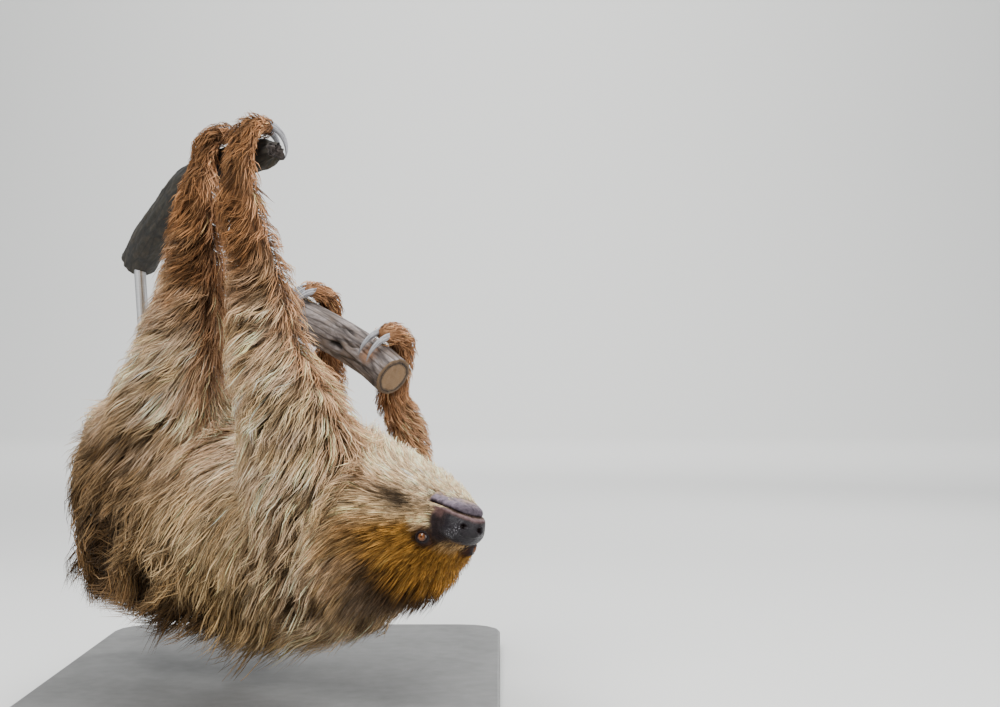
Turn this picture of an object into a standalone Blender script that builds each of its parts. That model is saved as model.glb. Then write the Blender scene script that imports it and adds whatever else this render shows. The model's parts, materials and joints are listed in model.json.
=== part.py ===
"""A life-size two-toed sloth, hanging from two cut branches on a display stand.

Metres, +Z up. The origin is on the floor at the middle of the stand's base.
The sloth hangs belly up. Its head comes forward and to the right, towards -Y
and +X. Its left limbs, on the near side, hold the higher branch, and its right
limbs, on the far side, hold the lower one.

Every soft part is modelled out to the tips of its coat. The body is one loft
from the nose to the rump, and each limb is one loft from its root to its
digits. Both are parted by thin flat cuts, and the root of a limb is cut away
where the body's own surface passes through it.
"""

import math

import bmesh
import bpy
import numpy as np
from mathutils import Vector

# Clear space between pieces that meet, and the fineness of the lofts
CUT_GAP = 0.00040
BODY_SIDES = 22
LIMB_SIDES = 12
CLAW_SIDES = 6
CLAW_RINGS = 8
HEAD_STEP = 0.0078
BODY_STEP = 0.0150
LIMB_STEP = 0.0130
LOCK_RELIEF = 0.035  # how far the hanging locks swell the lower coat, as a share
LOCK_WAVES = 9  # swells of the locks round the body
LOCK_TWIST = 60.0  # radians that the swells turn in a metre along it
LOCK_START = 0.110  # where the long hair starts, from the nose, and where it is full
LOCK_FULL = 0.170

# Display stand
BASE_SIZE = (0.440, 0.560, 0.020)
BASE_BEVEL = 0.0025
BASE_CORNER = 0.045
ROD_RADIUS = 0.0060
PALM_ROOM = 0.0018  # space between a palm and its branch
ELBOW_KNOT = 2  # the joint in a limb's list that is its elbow or knee
ROD_SOCKET = 0.010  # depth of a rod's end in the base, and in its branch
UPPER_ROD = ((-0.165, 0.240), (-0.150, 0.042))  # over the base, and at the branch
LOWER_ROD = ((-0.045, 0.190), (-0.036, 0.152))

# The head's own axes: towards the nose, and towards the crown, which hangs down
NOSE_TIP = Vector((0.1958, -0.3200, 0.1943))
HEAD_FORWARD = Vector((0.490, -0.870, 0.080)).normalized()
CROWN_ROUGH = Vector((-0.190, -0.190, -0.960))
HEAD_RIGHT = HEAD_FORWARD.cross(CROWN_ROUGH).normalized()
HEAD_CROWN = HEAD_RIGHT.cross(HEAD_FORWARD)

# Head sections: distance from the nose tip, half width, depth to the crown
# side and depth to the throat side, all out to the tips of the fur.
HEAD_SECTIONS = (
    (0.0000, 0.0110, 0.0070, 0.0100),
    (-0.0045, 0.0158, 0.0102, 0.0172),
    (-0.0110, 0.0192, 0.0125, 0.0222),
    (-0.0190, 0.0222, 0.0145, 0.0262),
    (-0.0280, 0.0260, 0.0185, 0.0304),
    (-0.0370, 0.0305, 0.0245, 0.0348),
    (-0.0470, 0.0365, 0.0335, 0.0395),
    (-0.0580, 0.0430, 0.0435, 0.0445),
    (-0.0720, 0.0505, 0.0540, 0.0505),
    (-0.0880, 0.0580, 0.0635, 0.0562),
    (-0.1020, 0.0635, 0.0700, 0.0600),
    (-0.1140, 0.0670, 0.0740, 0.0640),
)
SNOUT_DOME = 0.0035  # how far the rounded front stands before the first section

# Trunk sections from the neck to the rump: centre, half width, depth to the
# back, which hangs lowest with its long hair, and depth to the belly.
TRUNK_SECTIONS = (
    ((0.1200, -0.1910, 0.1840), 0.0720, 0.0830, 0.0740),
    ((0.0950, -0.1600, 0.1840), 0.0830, 0.1000, 0.0860),
    ((0.0670, -0.1320, 0.1840), 0.0920, 0.1180, 0.0930),
    ((0.0380, -0.1050, 0.1860), 0.0970, 0.1300, 0.0960),
    ((-0.0200, -0.0630, 0.1930), 0.0990, 0.1380, 0.0970),
    ((-0.0850, -0.0250, 0.2050), 0.0950, 0.1370, 0.0920),
    ((-0.1350, -0.0040, 0.2130), 0.0810, 0.1230, 0.0880),
    ((-0.1620, 0.0070, 0.2170), 0.0650, 0.1040, 0.0800),
)
RUMP_DOME = 0.0400

# Where the body is parted, counted in trunk sections from the nape
NECK_END = 2
CHEST_END = 4
ABDOMEN_END = 6

# Eyes, ears, nose and mouth, from the nose tip: right, back and crown
EYE_PLACE = (0.0240, -0.0385, 0.0115)
EYE_RADIUS = 0.0075
EAR_PLACE = (0.0560, -0.0950, 0.0120)
EAR_SIZE = (0.0060, 0.0100, 0.0130)
NOSTRIL_PLACE = (0.0078, 0.0010, 0.0000)
NOSTRIL_SIZE = (0.0030, 0.0050, 0.0024)
NOSE_BACK = -0.0125
MOUTH_FRONT = (0.0, 0.0060, -0.0125)
MOUTH_CORNER = (0.0, -0.0380, -0.0225)
MOUTH_OPENING = 0.0012
UPPER_LIP = -0.0095  # where the nose's pad ends, towards the throat
NOSE_BOX = 0.060  # size of the box that parts the nose from the head
FACE_WIDTH = 0.120  # wider than the muzzle, for what is cut across it

# Branches: stations of centre and radius, from the cut end nearest the viewer
UPPER_BRANCH = (
    ((0.0297, -0.2500, 0.5080), 0.0125),
    ((0.0163, -0.2326, 0.5073), 0.0132),
    ((-0.0215, -0.1836, 0.5055), 0.0145),
    ((-0.0660, -0.1220, 0.4940), 0.0165),
    ((-0.1010, -0.0500, 0.4720), 0.0185),
    ((-0.1350, 0.0200, 0.4480), 0.0195),
    ((-0.1530, 0.0620, 0.4340), 0.0195),
)
LOWER_BRANCH = (
    ((0.1192, -0.0965, 0.3139), 0.0190),
    ((0.1020, -0.0800, 0.3280), 0.0190),
    ((0.0640, -0.0505, 0.3510), 0.0190),
    ((0.0260, -0.0210, 0.3710), 0.0190),
    ((0.0020, 0.0350, 0.3850), 0.0190),
    ((-0.0200, 0.1000, 0.3910), 0.0185),
    ((-0.0400, 0.1650, 0.3930), 0.0185),
)


def clear_scene():
    """Removes the objects of the startup scene."""
    for old in list(bpy.data.objects):
        bpy.data.objects.remove(old)


def new_collection(name):
    """Makes a collection in the scene."""
    made = bpy.data.collections.new(name)
    bpy.context.scene.collection.children.link(made)
    return made


def new_material(name, colour, roughness, metallic=0.0):
    """Makes a Principled material of one colour."""
    made = bpy.data.materials.new(name)
    made.use_nodes = True
    shader = made.node_tree.nodes["Principled BSDF"]
    shader.inputs["Base Color"].default_value = (*colour, 1.0)
    shader.inputs["Roughness"].default_value = roughness
    shader.inputs["Metallic"].default_value = metallic
    made.diffuse_color = (*colour, 1.0)
    return made


def add_mesh_object(name, bm, collection, material=None):
    """Turns a bmesh into an object with outward faces and smooth shading."""
    bmesh.ops.remove_doubles(bm, verts=bm.verts, dist=1e-6)
    bmesh.ops.recalc_face_normals(bm, faces=bm.faces)
    mesh = bpy.data.meshes.new(name)
    bm.to_mesh(mesh)
    bm.free()
    mesh.shade_smooth()
    mesh.set_sharp_from_angle(angle=math.radians(50))
    made = bpy.data.objects.new(name, mesh)
    collection.objects.link(made)
    if material:
        mesh.materials.append(material)
    return made


def as_cutter(obj):
    """Marks an object as a cutter, which is no part of the model."""
    obj.hide_render = True
    obj.display_type = "WIRE"
    return obj


def add_boolean(obj, tool, operation="DIFFERENCE"):
    """Adds an exact Boolean modifier with another object as its tool."""
    modifier = obj.modifiers.new(operation.title() + "_" + tool.name, "BOOLEAN")
    modifier.operation = operation
    modifier.solver = "EXACT"
    modifier.object = tool


class Curve:
    """A smooth curve through rows of numbers, with its length as parameter."""

    def __init__(self, rows):
        self.rows = np.asarray(rows, float)
        steps = np.linalg.norm(np.diff(self.rows[:, :3], axis=0), axis=1)
        self.knots = np.concatenate([[0.0], np.cumsum(steps)])
        self.slopes = np.gradient(self.rows, self.knots, axis=0)

    def at(self, where):
        """Cubic Hermite value at one distance along the curve."""
        last = len(self.knots) - 2
        i = int(np.clip(np.searchsorted(self.knots, where) - 1, 0, last))
        span = self.knots[i + 1] - self.knots[i]
        t = (where - self.knots[i]) / span
        rise = t * t * (3 - 2 * t)
        return (
            self.rows[i] * (1 - rise)
            + self.rows[i + 1] * rise
            + self.slopes[i] * span * t * (1 - t) ** 2
            - self.slopes[i + 1] * span * t * t * (1 - t)
        )

    def tangent(self, where):
        """Unit direction of the curve at a distance along it."""
        reach = 5e-4
        return Vector(self.at(where + reach)[:3] - self.at(where - reach)[:3]).normalized()


def loft(rings):
    """Skins a list of closed rings of points, with flat ends, as a bmesh."""
    bm = bmesh.new()
    rows = [[bm.verts.new(point) for point in ring] for ring in rings]
    sides = len(rows[0])
    for low, high in zip(rows, rows[1:]):
        for k in range(sides):
            after = (k + 1) % sides
            bm.faces.new((low[k], low[after], high[after], high[k]))
    bm.faces.new(rows[0][::-1])
    bm.faces.new(rows[-1])
    return bm


def spread(start, end, step):
    """Evenly spaced distances from start to end, both included."""
    return np.linspace(start, end, max(2, round(abs(end - start) / step) + 1))


# ---------------------------------------------------------------------- body


def body_curve():
    """The line from nose to rump: centre, widths and the way to the crown or back."""
    rows = []
    for back, wide, crown, throat in HEAD_SECTIONS:
        centre = NOSE_TIP + HEAD_FORWARD * back
        rows.append([*centre, wide, crown, throat, *HEAD_CROWN])
    centres = [NOSE_TIP + HEAD_FORWARD * HEAD_SECTIONS[-1][0]]
    centres += [Vector(section[0]) for section in TRUNK_SECTIONS]
    for i, (_, wide, back_side, belly) in enumerate(TRUNK_SECTIONS, 1):
        ahead = centres[i - 1] - centres[min(i + 1, len(centres) - 1)]
        down = Vector((0.0, 0.0, -1.0))
        down = (down - ahead * (down.dot(ahead) / ahead.length_squared)).normalized()
        rows.append([*centres[i], wide, back_side, belly, *down])
    return Curve(rows)


def body_ring(curve, where, swell=0.0, share=1.0):
    """One section of the body: an oval, deeper on the side of the back."""
    row = curve.at(where)
    centre = Vector(row[:3])
    wide, back_side, belly = row[3:6] * share + swell
    ahead = curve.tangent(where)
    back_way = Vector(row[6:9])
    back_way = (back_way - ahead * back_way.dot(ahead)).normalized()
    side_way = ahead.cross(back_way)
    hairy = np.clip((where - LOCK_START) / (LOCK_FULL - LOCK_START), 0.0, 1.0) * share
    points = []
    for k in range(BODY_SIDES):
        turn = 2 * math.pi * (k + 0.5) / BODY_SIDES
        across = math.cos(turn)
        down = math.sin(turn)
        depth = back_side if down > 0 else belly
        swells = math.sin(LOCK_WAVES * turn + LOCK_TWIST * where)
        relief = LOCK_RELIEF * hairy * max(down, 0.0) * swells
        points.append(
            centre + side_way * across * wide + back_way * down * depth * (1 + relief)
        )
    return points


def dome_rings(curve, where, reach, swell=0.0, steps=4):
    """Rings that round off an end of the body over a distance."""
    rings = []
    for k in range(1, steps + 1):
        turn = 0.5 * math.pi * k / (steps + 0.35)
        shift = curve.tangent(where) * reach * math.sin(turn)
        ring = body_ring(curve, where, swell, math.cos(turn))
        rings.append([point + shift for point in ring])
    return rings


def body_bmesh(curve, marks, swell=0.0):
    """A length of the body over a run of marks; its two free ends are domes.

    Each span between marks has the same rings in every piece, so that two
    lofts over one span have one surface.
    """
    total = curve.knots[-1]
    stops = []
    for start, end in zip(marks, marks[1:]):
        stops += list(spread(start, end, HEAD_STEP if start <= 0 else BODY_STEP)[:-1])
    stops.append(marks[-1])
    if stops[0] > 0:
        stops[0] += CUT_GAP / 2
    if stops[-1] < total:
        stops[-1] -= CUT_GAP / 2
    rings = [body_ring(curve, stop, swell) for stop in stops]
    if stops[0] <= 0:
        rings = dome_rings(curve, 0.0, -SNOUT_DOME - swell, swell, 3)[::-1] + rings
    if stops[-1] >= total:
        rings += dome_rings(curve, total, RUMP_DOME + swell, swell)
    return loft(rings)


# ---------------------------------------------------------------------- head


def head_point(right, back, crown):
    """A point from its distances from the nose tip along the head's axes."""
    return NOSE_TIP + HEAD_RIGHT * right + HEAD_FORWARD * back + HEAD_CROWN * crown


def ball(name, centre, sizes, collection, material=None, segments=10, rings=7):
    """An ellipsoid in the head's axes: sizes to the right, forward and crown."""
    bm = bmesh.new()
    bmesh.ops.create_uvsphere(bm, u_segments=segments, v_segments=rings, radius=1.0)
    for vert in bm.verts:
        x, y, z = vert.co
        vert.co = (
            centre
            + HEAD_RIGHT * x * sizes[0]
            + HEAD_FORWARD * y * sizes[1]
            + HEAD_CROWN * z * sizes[2]
        )
    return add_mesh_object(name, bm, collection, material)


def slab(name, start, end, wide, thick, collection):
    """A flat box along a line in the head's middle plane, as wide as asked."""
    along = end - start
    across = along.normalized().cross(HEAD_RIGHT)
    bm = bmesh.new()
    bmesh.ops.create_cube(bm, size=1.0)
    for vert in bm.verts:
        x, y, z = vert.co
        vert.co = (start + end) / 2 + HEAD_RIGHT * x * wide + along * y + across * z * thick
    return as_cutter(add_mesh_object(name, bm, collection))


def build_head(curve, parts, cutters, materials):
    """The head with its nose, eyes and ears, up to the nape."""
    nape = curve.knots[len(HEAD_SECTIONS) - 1]
    marks = (0.0, nape)
    head = add_mesh_object("head", body_bmesh(curve, marks), parts, materials["head"])
    nose = add_mesh_object("nose", body_bmesh(curve, marks), parts, materials["nose"])
    mouth_start = head_point(*MOUTH_FRONT)
    mouth_end = head_point(*MOUTH_CORNER)
    mouth = slab("cut_mouth", mouth_start, mouth_end, FACE_WIDTH, MOUTH_OPENING, cutters)
    add_boolean(head, mouth)

    # The nose is what lies before NOSE_BACK, on the crown's side of the upper lip
    for name, user, operation, room in (
        ("cut_nose_seat", head, "DIFFERENCE", CUT_GAP),
        ("keep_nose", nose, "INTERSECT", 0.0),
    ):
        level = UPPER_LIP + NOSE_BOX / 2 - room
        start = head_point(0.0, NOSE_BACK - room, level)
        end = head_point(0.0, NOSE_BOX / 4, level)
        box = slab(name, start, end, FACE_WIDTH, NOSE_BOX, cutters)
        add_boolean(user, box, operation)
    for side, sign in (("left", -1), ("right", 1)):
        nostril = as_cutter(ball(
            "cut_nostril_" + side,
            head_point(sign * NOSTRIL_PLACE[0], *NOSTRIL_PLACE[1:]),
            NOSTRIL_SIZE, cutters, segments=10, rings=6,
        ))
        add_boolean(nose, nostril)

        for part, place, sizes, material in (
            ("eye", EYE_PLACE, (EYE_RADIUS,) * 3, "eye"),
            ("ear", EAR_PLACE, EAR_SIZE, "ear"),
        ):
            centre = head_point(sign * place[0], *place[1:])
            ball(part + "_" + side, centre, sizes, parts, materials[material])
            wider = [size + CUT_GAP for size in sizes]
            seat = as_cutter(ball("cut_" + part + "_" + side, centre, wider, cutters))
            add_boolean(head, seat)


# --------------------------------------------------------------------- limbs


class Grip:
    """A place on a branch that a hand or foot hooks over.

    Places round it are given as out, towards the side that the claws reach,
    up, and along the branch towards its near end.
    """

    def __init__(self, route, station, reach_side):
        centre, self.radius = route[station]
        self.centre = Vector(centre)
        near, far = Vector(route[station - 1][0]), Vector(route[station + 1][0])
        self.along = (near - far).normalized()
        reach = Vector(reach_side)
        self.out = (reach - self.along * reach.dot(self.along)).normalized()
        up = self.along.cross(self.out)
        self.up = up if up.z > 0 else -up

    def place(self, out, up, along=0.0):
        """A point from its three distances."""
        return self.centre + self.out * out + self.up * up + self.along * along


class Limb:
    """One limb: its joints from the root, its palm and its claws.

    joints are (point, half width, half thickness) from the root to above the
    wrist or ankle. That comes next, beside the branch, from wrist: its two
    half sizes, how far it lies under the branch's middle, and how far along.
    """

    def __init__(self, grip, joints, wrist, root_way, palm, claws, hook):
        self.grip = grip
        self.root_way = Vector(root_way).normalized()
        self.claws = claws
        self.hook = hook
        hold = grip.radius + PALM_ROOM
        wide, thick, drop, along = wrist
        rows = [[*point, *sizes] for point, *sizes in joints]
        rows.append([*grip.place(-(hold + thick), -drop, along), wide, thick])
        self.wrist_knot = len(joints)
        for turn, scale in ((172, 1.00), (138, 1.05), (106, 0.95), (84, 0.74)):
            reach = hold + palm[1] * scale
            out, up = math.cos(math.radians(turn)), math.sin(math.radians(turn))
            shift = along * max(0.0, (turn - 90) / 130)
            point = grip.place(reach * out, reach * up, shift)
            rows.append([*point, palm[0] * scale, palm[1] * scale])
        self.curve = Curve(rows)

    def ring(self, where):
        """One oval section of the limb. Its width turns to lie along the branch."""
        row = self.curve.at(where)
        share = min(where / self.curve.knots[self.wrist_knot], 1.0)
        wide_way = self.root_way.lerp(self.grip.along, share)
        ahead = self.curve.tangent(where)
        wide_way = (wide_way - ahead * wide_way.dot(ahead)).normalized()
        thick_way = ahead.cross(wide_way)
        centre = Vector(row[:3])
        points = []
        for k in range(LIMB_SIDES):
            turn = 2 * math.pi * (k + 0.5) / LIMB_SIDES
            across = wide_way * math.cos(turn) * row[3]
            points.append(centre + across + thick_way * math.sin(turn) * row[4])
        return points

    def piece(self, name, start, end, collection, material):
        """A length of the limb between two knots of its curve."""
        knots = self.curve.knots
        first = knots[start] + (CUT_GAP / 2 if start else 0)
        last = knots[end] - (CUT_GAP / 2 if end < len(knots) - 1 else 0)
        rings = [self.ring(s) for s in spread(first, last, LIMB_STEP)]
        return add_mesh_object(name, loft(rings), collection, material)


def claw_bmesh(grip, along, hook, swell=0.0):
    """A curved claw that winds over the branch, from inside its digit to its tip.

    hook holds the first and last turn round the branch, the first and last
    distance from its centre, and the claw's half width and half height.
    """
    start_turn, end_turn, start_reach, end_reach, wide, high = hook
    rings = []
    for k in range(CLAW_RINGS):
        t = k / (CLAW_RINGS - 1)
        turn = math.radians(start_turn + (end_turn - start_turn) * t)
        reach = start_reach + (end_reach - start_reach) * t**1.3
        outward = grip.out * math.cos(turn) + grip.up * math.sin(turn)
        centre = grip.centre + outward * reach + grip.along * along
        taper = 1 - 0.85 * t**1.7
        ring = []
        for j in range(CLAW_SIDES):
            around = 2 * math.pi * (j + 0.5) / CLAW_SIDES
            side = grip.along * math.sin(around) * (wide * taper + swell)
            ring.append(centre + side + outward * math.cos(around) * (high * taper + swell))
        rings.append(ring)
    return loft(rings)


def build_limb(limb, names, side, parts, cutters, materials, body_tool):
    """One limb in three lengths and its claws, cut back to the body's surface."""
    upper, lower, palm = names
    wrist = limb.wrist_knot
    last = len(limb.curve.knots) - 1
    pieces = (
        (upper, 0, ELBOW_KNOT, "upper_limb"),
        (lower, ELBOW_KNOT, wrist, "lower_limb"),
        (palm, wrist, last, "palm"),
    )
    for name, start, end, material in pieces:
        made = limb.piece(name + "_" + side, start, end, parts, materials[material])
        if name != palm:
            add_boolean(made, body_tool)
            continue
        for number, along in enumerate(limb.claws, 1):
            label = palm + "_" + side + "_claw_" + str(number)
            add_mesh_object(
                label, claw_bmesh(limb.grip, along, limb.hook), parts, materials["claw"]
            )
            seat = add_mesh_object(
                "cut_" + label, claw_bmesh(limb.grip, along, limb.hook, CUT_GAP), cutters
            )
            add_boolean(made, as_cutter(seat))


def make_limbs():
    """The four limbs: the near ones on the higher branch, the far on the lower."""
    reach_far = (0.77, 0.63, 0.0)
    reach_near = (-0.70, -0.72, 0.0)
    near_hand = Grip(UPPER_BRANCH, 1, reach_far)
    near_foot = Grip(UPPER_BRANCH, 2, reach_far)
    far_hand = Grip(LOWER_BRANCH, 1, reach_near)
    far_foot = Grip(LOWER_BRANCH, 3, reach_near)
    return (
        (
            "left", ("upper_arm", "forearm", "hand"),
            Limb(
                near_hand,
                (
                    ((0.0560, -0.1950, 0.2000), 0.0560, 0.0430),
                    ((0.0390, -0.2030, 0.2700), 0.0540, 0.0420),
                    ((0.0180, -0.2140, 0.3430), 0.0370, 0.0340),
                    ((0.0110, -0.2360, 0.4170), 0.0250, 0.0240),
                ),
                (0.0190, 0.0170, 0.0320, 0.0140),
                (1.0, -0.2, 0.0), (0.0165, 0.0100), (-0.0060, 0.0060),
                (118, -8, 0.0265, 0.0185, 0.0034, 0.0040),
            ),
        ),
        (
            "left", ("thigh", "shin", "foot"),
            Limb(
                near_foot,
                (
                    ((-0.1110, -0.0600, 0.2300), 0.0580, 0.0500),
                    ((-0.0930, -0.0950, 0.2980), 0.0490, 0.0420),
                    ((-0.0680, -0.1300, 0.3650), 0.0375, 0.0340),
                    ((-0.0540, -0.1700, 0.4150), 0.0285, 0.0270),
                ),
                (0.0200, 0.0180, 0.0360, 0.0040),
                (1.0, -0.2, 0.0), (0.0170, 0.0098), (-0.0085, 0.0, 0.0085),
                (118, 10, 0.0280, 0.0200, 0.0034, 0.0038),
            ),
        ),
        (
            "right", ("upper_arm", "forearm", "hand"),
            Limb(
                far_hand,
                (
                    ((0.1150, -0.0950, 0.1800), 0.0290, 0.0290),
                    ((0.1300, -0.0060, 0.1700), 0.0240, 0.0240),
                    ((0.1330, 0.0300, 0.2040), 0.0210, 0.0200),
                    ((0.1280, 0.0120, 0.2560), 0.0210, 0.0205),
                ),
                (0.0185, 0.0165, 0.0330, 0.0),
                (0.6, -0.2, -0.7), (0.0160, 0.0110), (-0.0060, 0.0060),
                (112, 14, 0.0315, 0.0208, 0.0034, 0.0040),
            ),
        ),
        (
            "right", ("thigh", "shin", "foot"),
            Limb(
                far_foot,
                (
                    ((-0.0750, 0.0300, 0.2100), 0.0380, 0.0380),
                    ((-0.0100, 0.0560, 0.2140), 0.0340, 0.0330),
                    ((0.0330, 0.0520, 0.2400), 0.0265, 0.0260),
                    ((0.0410, 0.0270, 0.2920), 0.0220, 0.0215),
                ),
                (0.0180, 0.0165, 0.0330, 0.0),
                (0.6, -0.2, -0.7), (0.0170, 0.0095), (-0.0080, 0.0, 0.0080),
                (112, 8, 0.0300, 0.0208, 0.0032, 0.0036),
            ),
        ),
    )


# --------------------------------------------------------- branches and stand


def build_branch(name, route, parts, material):
    """A cut branch: a bevelled curve through its stations, made a mesh."""
    data = bpy.data.curves.new(name, "CURVE")
    data.dimensions = "3D"
    data.bevel_depth = 1.0
    data.bevel_resolution = 2
    data.use_fill_caps = True
    line = Curve([[*point, radius] for point, radius in route])
    stations = [line.at(s) for s in spread(0.0, line.knots[-1], 0.016)]
    spline = data.splines.new("POLY")
    spline.points.add(len(stations) - 1)
    for point, row in zip(spline.points, stations):
        point.co = (*row[:3], 1.0)
        point.radius = row[3]
    drawn = bpy.data.objects.new(name + "_curve", data)
    parts.objects.link(drawn)
    evaluated = drawn.evaluated_get(bpy.context.evaluated_depsgraph_get())
    bm = bmesh.new()
    bm.from_mesh(bpy.data.meshes.new_from_object(evaluated))
    bpy.data.objects.remove(drawn)
    return add_mesh_object(name, bm, parts, material)


def rod_bmesh(start, end, radius):
    """A round rod between two points."""
    ahead = (end - start).normalized()
    side = ahead.orthogonal().normalized()
    other = ahead.cross(side)
    turns = [2 * math.pi * k / 20 for k in range(20)]
    round_way = [side * math.cos(t) + other * math.sin(t) for t in turns]
    return loft([[end_point + way * radius for way in round_way] for end_point in (start, end)])


def branch_height(route, place):
    """The height of a branch's centre line over a place on the floor."""
    line = Curve([[*point, radius] for point, radius in route])
    rows = np.array([line.at(s) for s in spread(0.0, line.knots[-1], 0.001)])
    gaps = np.hypot(rows[:, 0] - place[0], rows[:, 1] - place[1])
    return rows[int(np.argmin(gaps)), 2]


def build_stand(parts, cutters, materials, branches):
    """The flat base, and two rods that run from it up into the branches."""
    width, depth, height = BASE_SIZE
    outline = bmesh.new()
    corners = []
    for turn_start, sx, sy in ((0, 1, 1), (90, -1, 1), (180, -1, -1), (270, 1, -1)):
        for k in range(5):
            turn = math.radians(turn_start + 22.5 * k)
            x = sx * (width / 2 - BASE_CORNER) + BASE_CORNER * math.cos(turn)
            y = sy * (depth / 2 - BASE_CORNER) + BASE_CORNER * math.sin(turn)
            corners.append(outline.verts.new((x, y, 0.0)))
    face = outline.faces.new(corners)
    lifted = bmesh.ops.extrude_face_region(outline, geom=[face])["geom"]
    top = [item for item in lifted if isinstance(item, bmesh.types.BMVert)]
    bmesh.ops.translate(outline, verts=top, vec=(0.0, 0.0, height))
    base = add_mesh_object("stand_base", outline, parts, materials["base"])
    bevel = base.modifiers.new("Edges", "BEVEL")
    bevel.width = BASE_BEVEL
    bevel.segments = 2
    bevel.limit_method = "ANGLE"

    for name, (floor_place, branch_place), route in (
        ("upper", UPPER_ROD, UPPER_BRANCH),
        ("lower", LOWER_ROD, LOWER_BRANCH),
    ):
        foot = Vector((*floor_place, height - ROD_SOCKET))
        top = Vector((*branch_place, branch_height(route, branch_place) - ROD_RADIUS))
        rod = rod_bmesh(foot, top, ROD_RADIUS)
        add_mesh_object("stand_rod_" + name, rod, parts, materials["rod"])
        ahead = (top - foot).normalized() * CUT_GAP
        hole = rod_bmesh(foot - ahead, top + ahead, ROD_RADIUS + CUT_GAP)
        seat = as_cutter(add_mesh_object("cut_rod_" + name, hole, cutters))
        add_boolean(base, seat)
        add_boolean(branches[name], seat)


def make_materials():
    """One Principled material for each kind of surface."""
    return {
        "head": new_material("coat_head", (0.40, 0.25, 0.11), 0.75),
        "nose": new_material("nose_skin", (0.030, 0.022, 0.026), 0.35),
        "eye": new_material("eye_glass", (0.060, 0.025, 0.012), 0.08),
        "ear": new_material("coat_ear", (0.30, 0.20, 0.11), 0.75),
        "neck": new_material("coat_neck", (0.52, 0.40, 0.25), 0.75),
        "trunk": new_material("coat_trunk", (0.36, 0.26, 0.16), 0.75),
        "upper_limb": new_material("coat_upper_limb", (0.37, 0.24, 0.14), 0.75),
        "lower_limb": new_material("coat_lower_limb", (0.30, 0.16, 0.08), 0.75),
        "palm": new_material("coat_palm", (0.27, 0.14, 0.07), 0.75),
        "claw": new_material("claw_horn", (0.42, 0.39, 0.36), 0.35),
        "bark": new_material("bark", (0.16, 0.12, 0.10), 0.90),
        "base": new_material("base_paint", (0.30, 0.30, 0.29), 0.45),
        "rod": new_material("rod_steel", (0.55, 0.55, 0.56), 0.30, 1.0),
    }


def main():
    """Builds every piece of the sloth, its branches and its stand."""
    clear_scene()
    parts = new_collection("two_toed_sloth")
    cutters = new_collection("cutters")
    materials = make_materials()

    curve = body_curve()
    build_head(curve, parts, cutters, materials)
    first = len(HEAD_SECTIONS) - 1
    marks = [curve.knots[first + n] for n in (0, NECK_END, CHEST_END, ABDOMEN_END)]
    marks.append(curve.knots[-1])
    for name, start, end in zip(("neck", "chest", "abdomen", "rump"), marks, marks[1:]):
        material = materials["neck" if name == "neck" else "trunk"]
        add_mesh_object(name, body_bmesh(curve, (start, end)), parts, material)

    whole = body_bmesh(curve, [0.0, *marks], 2 * CUT_GAP)
    body_tool = as_cutter(add_mesh_object("cut_body", whole, cutters))
    for side, names, limb in make_limbs():
        build_limb(limb, names, side, parts, cutters, materials, body_tool)

    branches = {
        "upper": build_branch("perch_upper", UPPER_BRANCH, parts, materials["bark"]),
        "lower": build_branch("perch_lower", LOWER_BRANCH, parts, materials["bark"]),
    }
    build_stand(parts, cutters, materials, branches)


if __name__ == "__main__":
    main()
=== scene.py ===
"""A life-size museum model of a two-toed sloth, hanging belly up from two cut branches.

Metres, +Z up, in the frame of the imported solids. The body and each limb are forms: ovals
carried along a route. The skin is their union, drawn in by the depth of the coat, with a
finer face. The coat is solid tapered strands, gathered into locks that follow the lie of
the hair.
"""

import json
import logging
import math
from dataclasses import dataclass
from enum import Enum

import bmesh
import bpy
import numpy as np
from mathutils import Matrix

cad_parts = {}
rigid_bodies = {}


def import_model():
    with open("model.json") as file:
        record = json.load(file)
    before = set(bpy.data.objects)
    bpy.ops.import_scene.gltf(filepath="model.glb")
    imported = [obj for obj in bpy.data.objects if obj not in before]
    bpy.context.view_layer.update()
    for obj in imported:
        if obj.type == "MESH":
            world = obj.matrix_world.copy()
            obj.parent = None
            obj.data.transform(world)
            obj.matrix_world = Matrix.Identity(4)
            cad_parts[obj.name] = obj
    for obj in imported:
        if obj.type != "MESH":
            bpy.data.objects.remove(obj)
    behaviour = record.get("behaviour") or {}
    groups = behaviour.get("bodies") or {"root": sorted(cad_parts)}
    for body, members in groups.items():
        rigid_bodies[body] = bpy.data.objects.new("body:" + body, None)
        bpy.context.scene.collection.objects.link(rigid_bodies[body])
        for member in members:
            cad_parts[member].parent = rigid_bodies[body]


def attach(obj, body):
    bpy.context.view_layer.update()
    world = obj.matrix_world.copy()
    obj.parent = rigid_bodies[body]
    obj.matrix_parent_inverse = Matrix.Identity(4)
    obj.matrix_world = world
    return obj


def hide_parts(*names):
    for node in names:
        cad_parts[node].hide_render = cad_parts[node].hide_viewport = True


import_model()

LOG = logging.getLogger("sloth")
Array = np.ndarray
Piece = bpy.types.Object
Socket = bpy.types.NodeSocket
Material = bpy.types.Material
BODY = "root"
ROUND = 2 * math.pi
DOWN = np.array((0.0, 0.0, -1.0))
BOTH_SIDES = (-1.0, 1.0)
STEP = 5e-4
SINK = 0.004


# ------------------------------------------------------------------ number helpers


def unit(vectors: Array) -> Array:
    """Scales vectors in the last axis to length one."""
    size = np.linalg.norm(vectors, axis=-1, keepdims=True)
    return vectors / np.maximum(size, 1e-12)


def ramp(low: float, high: float, value: Array) -> Array:
    """Smooth step: 0 at low and 1 at high, t*t*(3-2t) between; it falls where low is larger."""
    t = np.clip((value - low) / (high - low), 0.0, 1.0)
    return t * t * (3.0 - 2.0 * t)


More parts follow.
